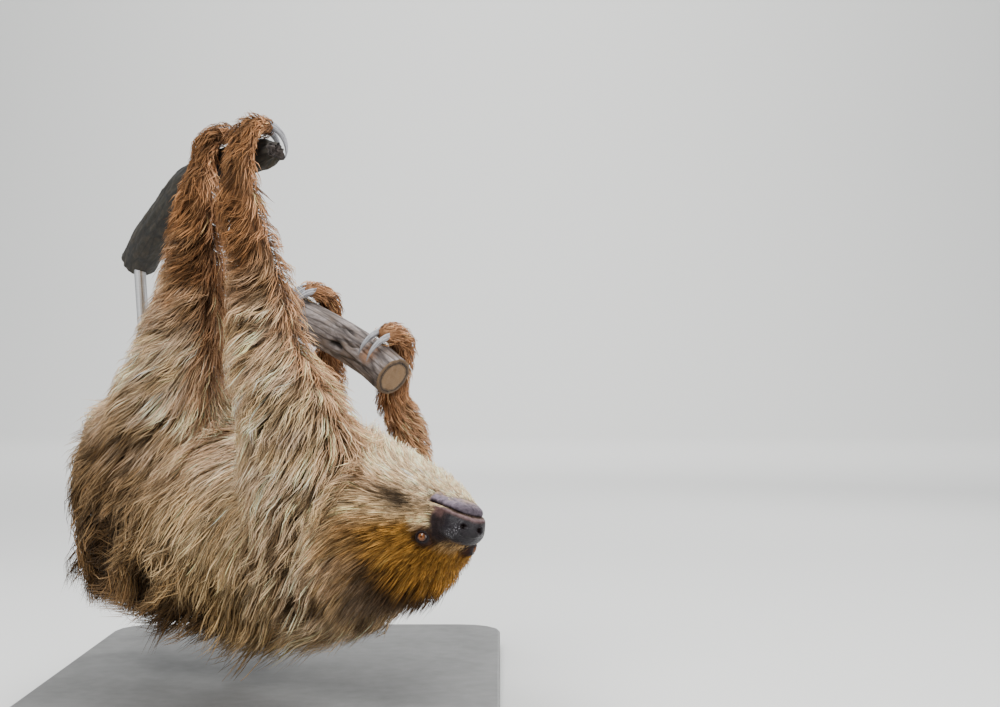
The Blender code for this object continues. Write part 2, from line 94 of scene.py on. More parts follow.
def hump(value: Array, middle: float, width: float) -> Array:
    """Bell curve: exp(-((value - middle) / width) squared)."""
    return np.exp(-(((value - middle) / width) ** 2))


def mix(first: Array, second: Array, share: Array) -> Array:
    """Straight blend of two colours or rows of them, by a share for each row, kept in 0..1."""
    share = np.clip(share, 0.0, 1.0)[..., None]
    return np.asarray(first) * (1.0 - share) + np.asarray(second) * share


def squared(vectors: Array, way: Array) -> Array:
    """Unit vectors of what is left beside a unit way."""
    return unit(vectors - way * (vectors * way).sum(-1, keepdims=True))


def lattice(points: Array, size: float, seed: int = 0) -> Array:
    """Smooth random field from -1 to 1, for places in space.

    Each corner of a grid of cells gets a number from a sine hash of its whole
    coordinates, and a place takes the smooth blend of its cell's eight corners.

    Args:
        points: Places, one row each.
        size: Edge of a grid cell.
        seed: Picks another field.

    Returns:
        One number for each place.
    """
    cell = points / size
    base = np.floor(cell)
    part = cell - base
    part = part * part * (3.0 - 2.0 * part)
    total = np.zeros(len(points))
    for corner in np.ndindex(2, 2, 2):
        spot = base + corner
        raw = np.sin(spot @ (127.1, 311.7, 74.7) + 17.3 * seed) * 43758.5453
        weight = np.prod(np.where(corner, part, 1.0 - part), axis=1)
        total += weight * (2.0 * (raw - np.floor(raw)) - 1.0)
    return total


def rounds(along: Array, columns: int, start: float = 0.0) -> tuple:
    """Two parameters on a grid: the given values, and even angles once round from start."""
    turns = np.linspace(start, start + ROUND, columns, endpoint=False)
    return np.meshgrid(along, turns, indexing="ij")


def circle(turn: Array, size: Array, third: Array) -> Array:
    """Cosine and sine of an angle times a size, with a third number beside them."""
    return np.stack(np.broadcast_arrays(np.cos(turn) * size, np.sin(turn) * size, third), -1)


def spaced(start: float, end: float, count: int, peaks: tuple) -> Array:
    """Rising values from start to end, closer together near some of them.

    The spacing is one over 1 + the sum of gain * bell curve.

    Args:
        start: First value.
        end: Last value.
        count: How many.
        peaks: Middle, width and gain of each bell curve.

    Returns:
        The values.
    """
    even = np.linspace(start, end, 4000)
    dense = 1.0 + sum(gain * hump(even, middle, width) for middle, width, gain in peaks)
    reached = np.concatenate([[0.0], np.cumsum(0.5 * (dense[1:] + dense[:-1]))])
    return np.interp(np.linspace(0.0, reached[-1], count), reached, even)


# ---------------------------------------------------------------- meshes and finishes


def grid_faces(rows: int, columns: int, closed: bool = False) -> Array:
    """Corner numbers of the quads of a grid of points.

    Args:
        rows: Points along the first parameter.
        columns: Points along the second.
        closed: Whether the last column joins the first.

    Returns:
        Four corners for each quad.
    """
    row, column = np.meshgrid(np.arange(rows - 1), np.arange(columns - (not closed)), indexing="ij")
    after = (column + 1) % columns
    quads = [row * columns + column, row * columns + after,
             (row + 1) * columns + after, (row + 1) * columns + column]
    return np.stack(quads, -1).reshape(-1, 4)


def tipped_faces(rows: int, columns: int) -> list:
    """Quads of a grid of rings, and triangles from its last ring to one more point."""
    ring, count = np.arange(columns), rows * columns
    last = np.stack([ring, (ring + 1) % columns], -1) + count - columns
    return [grid_faces(rows, columns, True), np.insert(last, 2, count, axis=1)]


def closed_faces(rows: int, columns: int) -> list:
    """Quads of a grid of rings, and triangles from its end rings to one more point each."""
    quads, last = tipped_faces(rows, columns)
    first = last[:, [1, 0, 2]] - (np.array((1, 1, 0)) * (rows - 1) * columns)
    return [quads, np.concatenate([first, last + (0, 0, 1)])]


def closed_points(points: Array, rows: int) -> Array:
    """Rings of places with the middle of the first and of the last after them."""
    rings = points.reshape(rows, -1, 3)
    return np.concatenate([points.reshape(-1, 3), rings[[0, -1]].mean(axis=1)])


def mesh_object(name: str, points: Array, faces: list, outward: bool = False) -> Piece:
    """Puts arrays of points and faces into a new smooth object.

    Args:
        name: Name of the piece.
        points: Places, one row each.
        faces: Arrays of corner numbers, each array with one face size.
        outward: Whether the faces of the closed piece still have to be turned outwards.

    Returns:
        The object, at the origin, in the scene.
    """
    mesh = bpy.data.meshes.new(name)
    faces = [np.asarray(part, np.int32) for part in faces if len(part)]
    sizes = np.concatenate([np.full(len(part), part.shape[1]) for part in faces])
    corners = np.concatenate([part.ravel() for part in faces]).astype(np.int32)
    starts = np.concatenate([[0], np.cumsum(sizes)[:-1]]).astype(np.int32)
    mesh.vertices.add(len(points))
    mesh.vertices.foreach_set("co", np.asarray(points, np.float32).ravel())
    mesh.loops.add(len(corners))
    mesh.loops.foreach_set("vertex_index", corners)
    mesh.polygons.add(len(sizes))
    mesh.polygons.foreach_set("loop_start", starts)
    mesh.update(calc_edges=True)
    mesh.validate()
    mesh.shade_smooth()
    made = bpy.data.objects.new(name, mesh)
    bpy.context.scene.collection.objects.link(made)
    if outward:
        work = bmesh.new()
        work.from_mesh(mesh)
        bmesh.ops.recalc_face_normals(work, faces=work.faces)
        work.to_mesh(mesh)
        work.free()
    return made


def paint(obj: Piece, name: str, values: Array) -> None:
    """Stores three numbers for each vertex of a piece, under a name."""
    layer = obj.data.attributes.new(name, "FLOAT_VECTOR", "POINT")
    layer.data.foreach_set("vector", np.asarray(values, np.float32).ravel())


def dress(obj: Piece, slot: str, material: Material, *nodes: str) -> Piece:
    """Gives a new piece its finish, ties it to the body and hides the solids it stands for."""
    obj.data.materials.clear()
    obj.data.materials.append(material)
    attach(obj, BODY)
    if nodes:
        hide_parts(*nodes)
    LOG.info("%s: %d faces", obj.name, len(obj.data.polygons))
    return obj


class Nodes:
    """Builds one procedural material, node by node."""

    def __init__(self, name: str, colour: tuple, roughness: float, **others: float) -> None:
        """Starts a material and sets the constant inputs of its shader.

        Args:
            name: Name of the material.
            colour: Linear base colour.
            roughness: Surface roughness.
            others: Further inputs by name, with underscores for spaces.
        """
        self.material = bpy.data.materials.new(name)
        self.material.use_nodes = True
        self.material.diffuse_color = (*colour, 1.0)
        self.tree = self.material.node_tree
        self.shader = self.tree.nodes["Principled BSDF"]
        others |= {"Base_Color": (*colour, 1.0), "Roughness": roughness}
        for label, value in others.items():
            self.shader.inputs[label.replace("_", " ")].default_value = value

    def add(self, kind: str, output: object, inputs: dict, **settings: object) -> Socket:
        """Adds a node.

        Args:
            kind: Type of the node, without its first words.
            output: Name or number of the output that is wanted.
            inputs: Sockets or constants, by name or number of the input.
            settings: Properties of the node.

        Returns:
            The output.
        """
        node = self.tree.nodes.new("ShaderNode" + kind)
        for name, value in settings.items():
            setattr(node, name, value)
        for name, value in inputs.items():
            if isinstance(value, Socket):
                self.tree.links.new(value, node.inputs[name])
            else:
                node.inputs[name].default_value = value
        return node.outputs[output]

    def feed(self, name: str, source: Socket) -> None:
        """Links an input of the shader."""
        self.tree.links.new(source, self.shader.inputs[name])

    def place(self) -> Socket:
        """The place on the piece, in metres."""
        return self.add("TexCoord", "Object", {})

    def attribute(self, name: str, output: str = "Vector") -> Socket:
        """A named attribute of the mesh."""
        return self.add("Attribute", output, {}, attribute_name=name)

    def parts(self, vector: Socket) -> list:
        """The three numbers of a vector."""
        return list(self.add("SeparateXYZ", 0, {0: vector}).node.outputs)

    def stretched(self, vector: Socket, scale: tuple) -> Socket:
        """A vector scaled on each axis by a Mapping node."""
        return self.add("Mapping", "Vector", {"Vector": vector, "Scale": scale})

    def noise(self, vector: Socket, scale: float, detail: float, rough: float = 0.55,
              warp: float = 0.0) -> Socket:
        """Noise texture over a vector."""
        return self.add("TexNoise", "Fac", {"Vector": vector, "Scale": scale, "Detail": detail,
                                            "Roughness": rough, "Distortion": warp})

    def cells(self, vector: Socket, scale: float, feature: str = "F1") -> Socket:
        """Voronoi distance over a vector."""
        return self.add("TexVoronoi", "Distance", {"Vector": vector, "Scale": scale}, feature=feature)

    def band(self, value: Socket, *stops: tuple) -> Socket:
        """Colour ramp over a value; each stop is a position and a linear colour or a grey."""
        colour = self.add("ValToRGB", "Color", {"Fac": value})
        points = colour.node.color_ramp.elements
        while len(points) < len(stops):
            points.new(0.5)
        for point, (position, shade) in zip(points, stops):
            point.position = position
            point.color = (*np.broadcast_to(shade, 3), 1.0)
        return colour

    def maths(self, kind: str, first: object, second: object = 0.0) -> Socket:
        """Maths node on two sockets or numbers."""
        return self.add("Math", "Value", {0: first, 1: second}, operation=kind)

    def times(self, first: object, second: object) -> Socket:
        """Product of two sockets or numbers."""
        return self.maths("MULTIPLY", first, second)

    def blend(self, share: object, first: object, second: object, kind: str = "MIX") -> Socket:
        """Mix node on two colours, each a socket or a linear colour."""
        first, second = (part if isinstance(part, Socket) else (*part, 1.0) for part in (first, second))
        return self.add("Mix", 2, {0: share, 6: first, 7: second}, data_type="RGBA", blend_type=kind)

    def rough(self, source: Socket, low: float, high: float) -> None:
        """Feeds the roughness, with 0..1 spread from low to high."""
        self.feed("Roughness", self.add("MapRange", "Result", {
            "Value": source, "To Min": low, "To Max": high}))

    def bump(self, height: Socket, strength: float, distance: float) -> None:
        """Feeds the normal with a bump, on top of any bump already there."""
        inputs = {"Height": height, "Strength": strength, "Distance": distance}
        for link in self.shader.inputs["Normal"].links:
            inputs["Normal"] = link.from_socket
        self.feed("Normal", self.add("Bump", "Normal", inputs))


# ------------------------------------------------------------------------- studio


@dataclass(frozen=True)
class FloorFinish:
    """Matt pale paint of the studio floor and its curved backdrop."""

    colour: tuple = (0.62, 0.62, 0.6)
    roughness: float = 0.9

    def material(self) -> Material:
        """Makes the paint, with a faint roller texture."""
        made = Nodes("floor_paint", self.colour, self.roughness)
        made.bump(made.noise(made.place(), 140.0, 3.0), 0.05, 0.0004)
        return made.material


@dataclass
class Studio:
    """Camera, floor with its curved backdrop, and soft lights."""

    eye: tuple = (0.22, -1.66, 0.336)
    lens: float = 59.76
    floor_half: float = 7.0
    wall_start: float = 5.0
    wall_turn: float = 2.5
    wall_top: float = 6.0
    subject: tuple = (0.0, -0.1, 0.28)
    air: tuple = (0.8, 0.84, 0.9, 1.0)
    air_power: float = 0.6

    def stand(self, data: bpy.types.ID, place: tuple, turn: tuple) -> Piece:
        """Puts a camera or a light into the scene."""
        made = bpy.data.objects.new(data.name, data)
        made.location = place
        made.rotation_euler = turn
        bpy.context.scene.collection.objects.link(made)
        return made

    def camera(self) -> None:
        """Sets the camera level, looking along +Y."""
        data = bpy.data.cameras.new("view")
        data.lens = self.lens
        data.sensor_width = 36.0
        data.clip_end = 60.0
        bpy.context.scene.camera = self.stand(data, self.eye, (math.pi / 2, 0.0, 0.0))

    def floor(self) -> None:
        """Builds the floor: a profile that runs back flat, bends up and rises, drawn sideways."""
        bend = np.linspace(0.0, math.pi / 2, 24)
        back = np.concatenate([[-self.floor_half, 0.0], self.wall_start + self.wall_turn * np.sin(bend),
                               [self.wall_start + self.wall_turn]])
        height = np.concatenate([[0.0, 0.0], self.wall_turn * (1 - np.cos(bend)), [self.wall_top]])
        sides = np.linspace(-self.floor_half, self.floor_half, 3)
        points = np.stack(np.broadcast_arrays(sides[None, :], back[:, None], height[:, None]), -1)
        made = mesh_object("studio_floor", points.reshape(-1, 3), [grid_faces(len(back), 3)])
        made.data.materials.append(FloorFinish().material())

    def light(self, name: str, place: tuple, size: float, power: float, aim: tuple) -> None:
        """Adds one soft square light that faces a point."""
        data = bpy.data.lights.new(name, "AREA")
        data.size = size
        data.energy = power
        way = np.subtract(place, aim)
        lean = math.atan2(math.hypot(way[0], way[1]), way[2])
        self.stand(data, place, (lean, 0.0, math.atan2(way[0], -way[1])))

    def build(self) -> None:
        """Makes the whole studio."""
        self.camera()
        self.floor()
        for name, place, size, power, aim in (
                ("key", (-0.9, -1.8, 2.3), 1.2, 114.0, self.subject),
                ("fill", (1.9, -1.7, 0.7), 1.8, 66.0, self.subject),
                ("top", (0.2, 0.1, 2.4), 1.4, 66.0, self.subject),
                ("rim", (0.9, 1.8, 1.4), 1.4, 22.0, self.subject),
                ("backdrop", (0.3, 3.4, 3.6), 3.0, 330.0, (0.3, 7.2, 1.2))):
            self.light(name, place, size, power, aim)
        world = bpy.data.worlds.new("soft_air")
        world.use_nodes = True
        background = world.node_tree.nodes["Background"]
        background.inputs["Color"].default_value = self.air
        background.inputs["Strength"].default_value = self.air_power
        bpy.context.scene.world = world


# -------------------------------------------------------------------------- forms


class Route:
    """A smooth curve through rows of numbers, with its length as parameter."""

    def __init__(self, rows: list) -> None:
        """Keeps the rows and their slopes; the first three columns are the place."""
        self.rows = np.asarray(rows, float)
        steps = np.linalg.norm(np.diff(self.rows[:, :3], axis=0), axis=1)
        self.knots = np.concatenate([[0.0], np.cumsum(steps)])
        self.slopes = np.gradient(self.rows, self.knots, axis=0)

    def at(self, where: Array) -> Array:
        """Values at distances along; between knots, a cubic with their values and slopes."""
        i = np.clip(np.searchsorted(self.knots, where) - 1, 0, len(self.knots) - 2)
        span = (self.knots[i + 1] - self.knots[i])[:, None]
        t = (where - self.knots[i])[:, None] / span
        rise = t * t * (3 - 2 * t)
        lean = self.slopes[i] * span * t * (1 - t) ** 2
        back = self.slopes[i + 1] * span * t * t * (1 - t)
        return self.rows[i] * (1 - rise) + self.rows[i + 1] * rise + lean - back

    def ahead(self, where: Array) -> Array:
        """Unit way of the curve at distances along it."""
        return unit(self.at(where + STEP)[:, :3] - self.at(where - STEP)[:, :3])


@dataclass
class Spot:
    """Where places lie on a form: along, round, height over the skin and local ways."""

    along: Array
    turn: Array
    height: Array
    normal: Array
    ahead: Array
    coat: Array


class Form:
    """A furry tube: ovals carried along a route, drawn in by the depth of the coat.

    SIZES are the route's columns with the half width, low depth and high depth of
    each oval, to the tips of the coat.
    """

    STATIONS = 240
    COARSE = 3
    OVERRUN = 0.2
    SIZES = [3, 4, 5]

    def __init__(self, route: Route, domes: tuple) -> None:
        """Samples the route.

        Args:
            route: Rows that start with the place.
            domes: How far the skin's rounded ends stand out, first and last.
        """
        self.total, self.domes = route.knots[-1], domes
        stops = np.linspace(0.0, self.total, self.STATIONS)
        rows, ahead = route.at(stops), route.ahead(stops)
        self.centres = rows[:, :3]
        side, low = self.frames(stops, rows, ahead)
        self.table = np.concatenate([self.centres, ahead, side, low, rows[:, self.SIZES],
                                     self.depths(stops)], axis=1)

    def frames(self, stops: Array, rows: Array, ahead: Array) -> tuple:
        """The side way and the low way of each oval."""
        raise NotImplementedError

    def depths(self, stops: Array) -> Array:
        """Coat's depth at the sides, the low side and the high side."""
        raise NotImplementedError

    def lie(self, spot: Spot) -> Array:
        """World direction that the hair is combed in, before it is laid on the surface."""
        raise NotImplementedError

    def tone(self, spot: Spot, points: Array) -> Array:
        """Colour of the outer coat, one row for each place."""
        raise NotImplementedError

    def gaps(self, along: Array, turn: Array) -> Array:
        """How deep the gaps between the locks are, and how much painted shade falls in them, from 0 to 1.
        """
        raise NotImplementedError

    def look(self, along: Array) -> tuple:
        """Reads the table at distances along the form, blending two stations."""
        place = np.clip(along / self.total, 0.0, 1.0) * (self.STATIONS - 1)
        base = np.minimum(place.astype(int), self.STATIONS - 2)
        share = (place - base)[:, None]
        row = self.table[base] * (1.0 - share) + self.table[base + 1] * share
        return tuple(row[:, k:k + 3] for k in range(0, 18, 3))

    def oval(self, sizes: Array, depths: Array, turn: Array) -> tuple:
        """Outer place on an oval, its radius and its coat's depth, in a direction round it."""
        across, down = np.cos(turn), np.sin(turn)
        deep, coat_end = (np.where(down > 0, part[:, 1], part[:, 2]) for part in (sizes, depths))
        radius = np.hypot(across * sizes[:, 0], down * deep)
        coat = depths[:, 0] * across**2 + coat_end * down**2
        return across * sizes[:, 0], down * deep, radius, coat

    def skin(self, along: Array, turn: Array) -> Array:
        """Radius of the skin."""
        _, _, radius, coat = self.oval(*self.look(along)[4:], turn)
        return radius - coat

    def beyond(self, along: Array) -> tuple:
        """How far places lie past an end of the route, and that end's dome."""
        over = along - np.clip(along, 0.0, self.total)
        return over, np.where(over < 0, *self.domes)

    def surface(self, along: Array, turn: Array) -> Array:
        """Places on the form.

        Centre, plus the oval's outer vector shortened by the coat's depth. Past
        an end, the oval shrinks as a circle's height does, so that the end is a
        dome.

        Args:
            along: Distance from the first station.
            turn: Angle round, from the side way to the low way.

        Returns:
            One place for each pair.
        """
        centre, ahead, side, low, sizes, depths = self.look(along)
        across, down, radius, coat = self.oval(sizes, depths, turn)
        over, reach = self.beyond(along)
        share = (radius - coat) / radius * np.sqrt(np.clip(1.0 - (over / reach) ** 2, 0.0, 1.0))
        shift = ahead * over[:, None]
        return centre + shift + (side * across[:, None] + low * down[:, None]) * share[:, None]

    def locate(self, points: Array) -> Spot:
        """Finds places on the form: the nearest station, moved along to stand square."""
        coarse = self.centres[::self.COARSE]
        gaps = (coarse**2).sum(1)[None, :] - 2.0 * points @ coarse.T
        along = np.argmin(gaps, axis=1) * float(self.COARSE) * self.total / (self.STATIONS - 1)
        first, last = self.domes
        for _ in range(2):
            centre, ahead, *_ = self.look(along)
            base = np.clip(along, 0.0, self.total) + ((points - centre) * ahead).sum(1)
            along = np.clip(base, -first - self.OVERRUN, self.total + last + self.OVERRUN)
        centre, ahead, side, low, sizes, depths = self.look(along)
        away = points - centre
        x, y = (away * side).sum(1), (away * low).sum(1)
        deep = np.where(y > 0, sizes[:, 1], sizes[:, 2])
        turn = np.arctan2(y / deep, x / sizes[:, 0])
        _, _, radius, coat = self.oval(sizes, depths, turn)
        skin = radius - coat
        over, reach = self.beyond(along)
        far = over * skin / reach
        height = np.sqrt(x * x + y * y + far * far) - skin
        grow = 2e-3
        slope = (self.skin(along + grow, turn) - self.skin(along - grow, turn)) / (2 * grow)
        lean = far / np.maximum(skin, 1e-4) * skin / reach - slope
        flat = unit(side * (x / sizes[:, 0] ** 2)[:, None] + low * (y / deep**2)[:, None])
        dome = np.sqrt(np.clip(1 - (over / reach) ** 2, 0.02, 1))
        normal = unit(flat * dome[:, None] + ahead * lean[:, None])
        return Spot(along, turn, height, normal, ahead, coat)


def linear(*display: int) -> tuple:
    """Linear colour from a display colour of 0 to 255."""
    value = np.array(display) / 255.0
    return tuple(np.where(value <= 0.04045, value / 12.92, ((value + 0.055) / 1.055) ** 2.4))


class HeadAxes:
    """The head's own axes: its right side, towards the nose, and the crown, which hangs."""

    TIP = np.array((0.1958, -0.32, 0.1943))
    FORWARD = (0.49, -0.87, 0.08)
    CROWN = (-0.19, -0.19, -0.96)

    def __init__(self) -> None:
        """Squares the axes."""
        self.forward = unit(np.array(self.FORWARD))
        self.right = unit(np.cross(self.forward, np.array(self.CROWN)))
        self.crown = np.cross(self.right, self.forward)
        self.ways = np.stack([self.right, self.forward, self.crown])

    def point(self, *parts: Array) -> Array:
        """A place from its distances to the right, forward and crown from the nose tip."""
        return self.TIP + np.stack(np.broadcast_arrays(*parts), -1) @ self.ways

    def read(self, points: Array) -> Array:
        """Distances to the right, forward and crown from the nose tip, one row each."""
        return (points - self.TIP) @ self.ways.T


HEAD = HeadAxes()


@dataclass(frozen=True)
class Fur:
    """Named colours of the coat."""

    cream: tuple = linear(253, 218, 174)
    belly: tuple = linear(248, 214, 178)
    tan: tuple = linear(214, 182, 138)
    straw: tuple = linear(190, 158, 110)
    brown: tuple = linear(126, 95, 60)
    gold: tuple = linear(162, 115, 48)
    # Umber: partly darker hair and partly painted shade, low on the back of the crown.
    umber: tuple = linear(50, 27, 5)
    bister: tuple = linear(72, 42, 24)
    grey: tuple = linear(78, 64, 48)
    fawn: tuple = linear(226, 190, 140)
    rust: tuple = linear(212, 156, 112)
    russet: tuple = linear(150, 106, 68)
    apricot: tuple = linear(238, 182, 136)


FUR = Fur()


class BodyForm(Form):
    """Head and trunk in one, from the nose to the rump, belly up."""

    # Head sections: back from the nose tip, half width, crown side, throat side
    HEAD_OVALS = (
        (0.0, 0.011, 0.007, 0.01), (-0.0045, 0.0158, 0.0102, 0.0172),
        (-0.011, 0.0192, 0.0125, 0.0222), (-0.019, 0.0222, 0.0145, 0.0262),
        (-0.028, 0.026, 0.0185, 0.0304), (-0.037, 0.0305, 0.0245, 0.0348),
        (-0.047, 0.0365, 0.0335, 0.0395), (-0.058, 0.043, 0.0435, 0.0445),
        (-0.072, 0.0505, 0.054, 0.0505), (-0.088, 0.058, 0.0635, 0.0562),
        (-0.102, 0.0635, 0.07, 0.06), (-0.114, 0.067, 0.074, 0.064),
    )
    # Trunk sections: centre, half width, depth to the back, depth to the belly
    TRUNK_OVALS = (
        ((0.12, -0.191, 0.184), 0.072, 0.083, 0.074),
        ((0.095, -0.16, 0.184), 0.083, 0.1, 0.086),
        ((0.067, -0.132, 0.184), 0.092, 0.118, 0.093),
        ((0.038, -0.105, 0.186), 0.097, 0.13, 0.096),
        ((-0.02, -0.063, 0.193), 0.099, 0.138, 0.097),
        ((-0.085, -0.025, 0.205), 0.095, 0.137, 0.092),
        ((-0.135, -0.004, 0.213), 0.081, 0.123, 0.088),
        ((-0.162, 0.007, 0.217), 0.065, 0.104, 0.08),
    )
    # Coat's depth: distance from the nose, at the sides, at the back and at the belly
    COAT = (
        (0.0, 0.0004, 0.0004, 0.0004), (0.012, 0.0006, 0.0006, 0.0006),
        (0.024, 0.0008, 0.0016, 0.001), (0.036, 0.0018, 0.005, 0.0022),
        (0.05, 0.006, 0.011, 0.005), (0.065, 0.012, 0.019, 0.008),
        (0.085, 0.018, 0.027, 0.012), (0.115, 0.024, 0.035, 0.019),
        (0.17, 0.03, 0.05, 0.026), (0.22, 0.032, 0.064, 0.027),
        (0.3, 0.033, 0.074, 0.027), (0.4, 0.033, 0.075, 0.026),
        (0.47, 0.029, 0.064, 0.024), (0.502, 0.024, 0.052, 0.024),
    )
    DOMES = (0.003, 0.02)

    def __init__(self) -> None:
        """Joins the head's and the trunk's sections into one route."""
        rows = [[*HEAD.point(0.0, back, 0.0), *ovals, *HEAD.crown] for back, *ovals in self.HEAD_OVALS]
        centres = [rows[-1][:3]] + [list(oval[0]) for oval in self.TRUNK_OVALS]
        for i, (_, *ovals) in enumerate(self.TRUNK_OVALS, 1):
            ahead = np.subtract(centres[i - 1], centres[min(i + 1, len(centres) - 1)])
            rows.append([*centres[i], *ovals, *squared(DOWN, unit(ahead))])
        super().__init__(Route(rows), self.DOMES)

    def frames(self, stops: Array, rows: Array, ahead: Array) -> tuple:
        """The back's way squared to the route, and the side way across both."""
        low = squared(rows[:, 6:9], ahead)
        return np.cross(ahead, low), low

    def depths(self, stops: Array) -> Array:
        """The coat's depths, blended straight between the listed distances."""
        where, *kinds = np.array(self.COAT).T
        return np.stack([np.interp(stops, where, kind) for kind in kinds], axis=1)

    def lie(self, spot: Spot) -> Array:
        """Combed back from the nose, and down the flanks from the belly's middle line."""
        down = ramp(0.1, 0.24, spot.along)[:, None]
        return spot.ahead * (1.0 - 0.38 * down) + DOWN * (0.22 + 0.75 * down)

    def tone(self, spot: Spot, points: Array) -> Array:
        """Gold crown and cheek, with umber and painted shade low on the crown, cream throat, tan trunk,
        darker and stronger to the rump.
        """
        s, down = spot.along, np.sin(spot.turn)
        patchy, fine = lattice(points, 0.03, 3), lattice(points, 0.012, 5)
        share = 0.75 * ramp(0.34, 0.46, s + 0.03 * patchy) * ramp(-1.0, -0.2, down)
        trunk = mix(FUR.belly, FUR.tan, ramp(-0.75, -0.1, down + 0.25 * patchy))
        trunk = mix(trunk, FUR.straw, ramp(0.0, 0.75, down + 0.3 * patchy))
        trunk = mix(trunk, FUR.brown, share)
        share = 0.8 * ramp(0.25, 0.95, down + 0.2 * patchy) * ramp(0.28, 0.37, s)
        trunk = mix(trunk, FUR.brown, share)
        neck = mix(FUR.belly, FUR.tan, ramp(-0.5, 0.7, down + 0.3 * fine))
        body = mix(neck, trunk, ramp(0.18, 0.27, s))
        rise = down + 0.1 * fine - 0.42 * ramp(0.052, 0.034, s)
        gold = mix(FUR.fawn, FUR.gold, ramp(-0.12, 0.22, rise))
        gold = mix(gold, FUR.fawn, 0.55 * ramp(0.04, 0.028, s) * ramp(0.3, 0.8, down))
        # Umber low on the back of the crown: partly darker hair and partly painted shade.
        dark = ramp(0.072, 0.1, s) * ramp(0.182, 0.155, s + 0.01 * patchy)
        gold = mix(gold, FUR.umber, 0.94 * dark * ramp(0.52, 0.84, down + 0.1 * fine))
        # Painted shade: the back of the crown darkens towards its lower, hanging side.
        gold = gold * (1.0 - 0.34 * ramp(0.075, 0.11, s) * ramp(0.1, 0.4, down))[:, None]
        throat = mix(FUR.cream, FUR.fawn, 0.8 * ramp(-0.7, -0.2, down + 0.1 * fine))
        head = mix(throat, gold, ramp(-0.16, -0.05, rise))
        jaw = hump(s, 0.062, 0.02 + 0.004 * fine) * hump(down, -0.34 + 0.08 * patchy, 0.25)
        streak = ramp(0.06, 0.078, s) * ramp(0.15, 0.115, s)
        head = mix(head, FUR.grey, jaw + 0.62 * hump(down, -0.46, 0.16) * streak)
        eye = np.min([np.linalg.norm(points - EYE.ways(sign)[0], axis=1) for sign in BOTH_SIDES], 0)
        head = mix(head, FUR.bister, 0.9 * ramp(0.0142, 0.008, eye + 0.0012 * fine))
        end = 0.16 + 0.028 * ramp(0.1, 0.8, down)
        return mix(head, body, ramp(-0.016, 0.014, s - end + 0.012 * fine))

    def gaps(self, along: Array, turn: Array) -> Array:
        """Open locks on the flanks, the rump and the underside, close fur on head and belly."""
        down = np.sin(turn)
        low = ramp(-0.6, 0.6, down) * ramp(0.24, 0.34, along)
        back = ramp(0.34, 0.44, along) * ramp(-1.0, -0.55, down)
        gold = 0.2 * ramp(-0.2, 0.0, down) * ramp(0.24, 0.16, along)
        return 0.2 + gold + 0.76 * np.maximum(low, back)


class Grip:
    """A place on a branch that a hand or foot hooks over."""

    def __init__(self, route: tuple, station: int, reach_side: tuple) -> None:
        """Finds the branch's own ways at a station, and the side that the claws reach."""
        centre, self.radius = route[station]
        self.centre = np.array(centre)
        self.along = unit(np.subtract(route[station - 1][0], route[station + 1][0]))
        self.out = squared(np.array(reach_side), self.along)
        up = np.cross(self.along, self.out)
        self.up = up if up[2] > 0 else -up

    def place(self, out: float, up: float, along: float = 0.0) -> Array:
        """A place from its three distances."""
        return self.centre + self.out * out + self.up * up + self.along * along


class Side(Enum):
    """Which side of the animal a limb is on: the near left or the far right."""

    LEFT = "left"
    RIGHT = "right"


@dataclass(frozen=True)
class LimbPlan:
    """Sizes of one limb, from its root to its digits and claws.

    joints are (place, half width, half thickness). wrist is its two half sizes,
    how far it lies under the branch's middle, and how far along. palm is the
    digits' two half sizes, and claws their places along the branch. hook is the
    first and last turn of the claws, in degrees, their first and last distance
    from the branch's middle line, and their half width and half height. outer
    points to the limb's outer edge. coats are the coat's depths, root to digits.
    """

    names: tuple
    side: Side
    grip: Grip
    joints: tuple
    wrist: tuple
    root_way: tuple
    palm: tuple
    claws: tuple
    hook: tuple
    outer: tuple
    coats: tuple

    @property
    def solids(self) -> list:
        """Names of the limb's solids, the hand or foot last."""
        return [name + "_" + self.side.value for name in self.names]


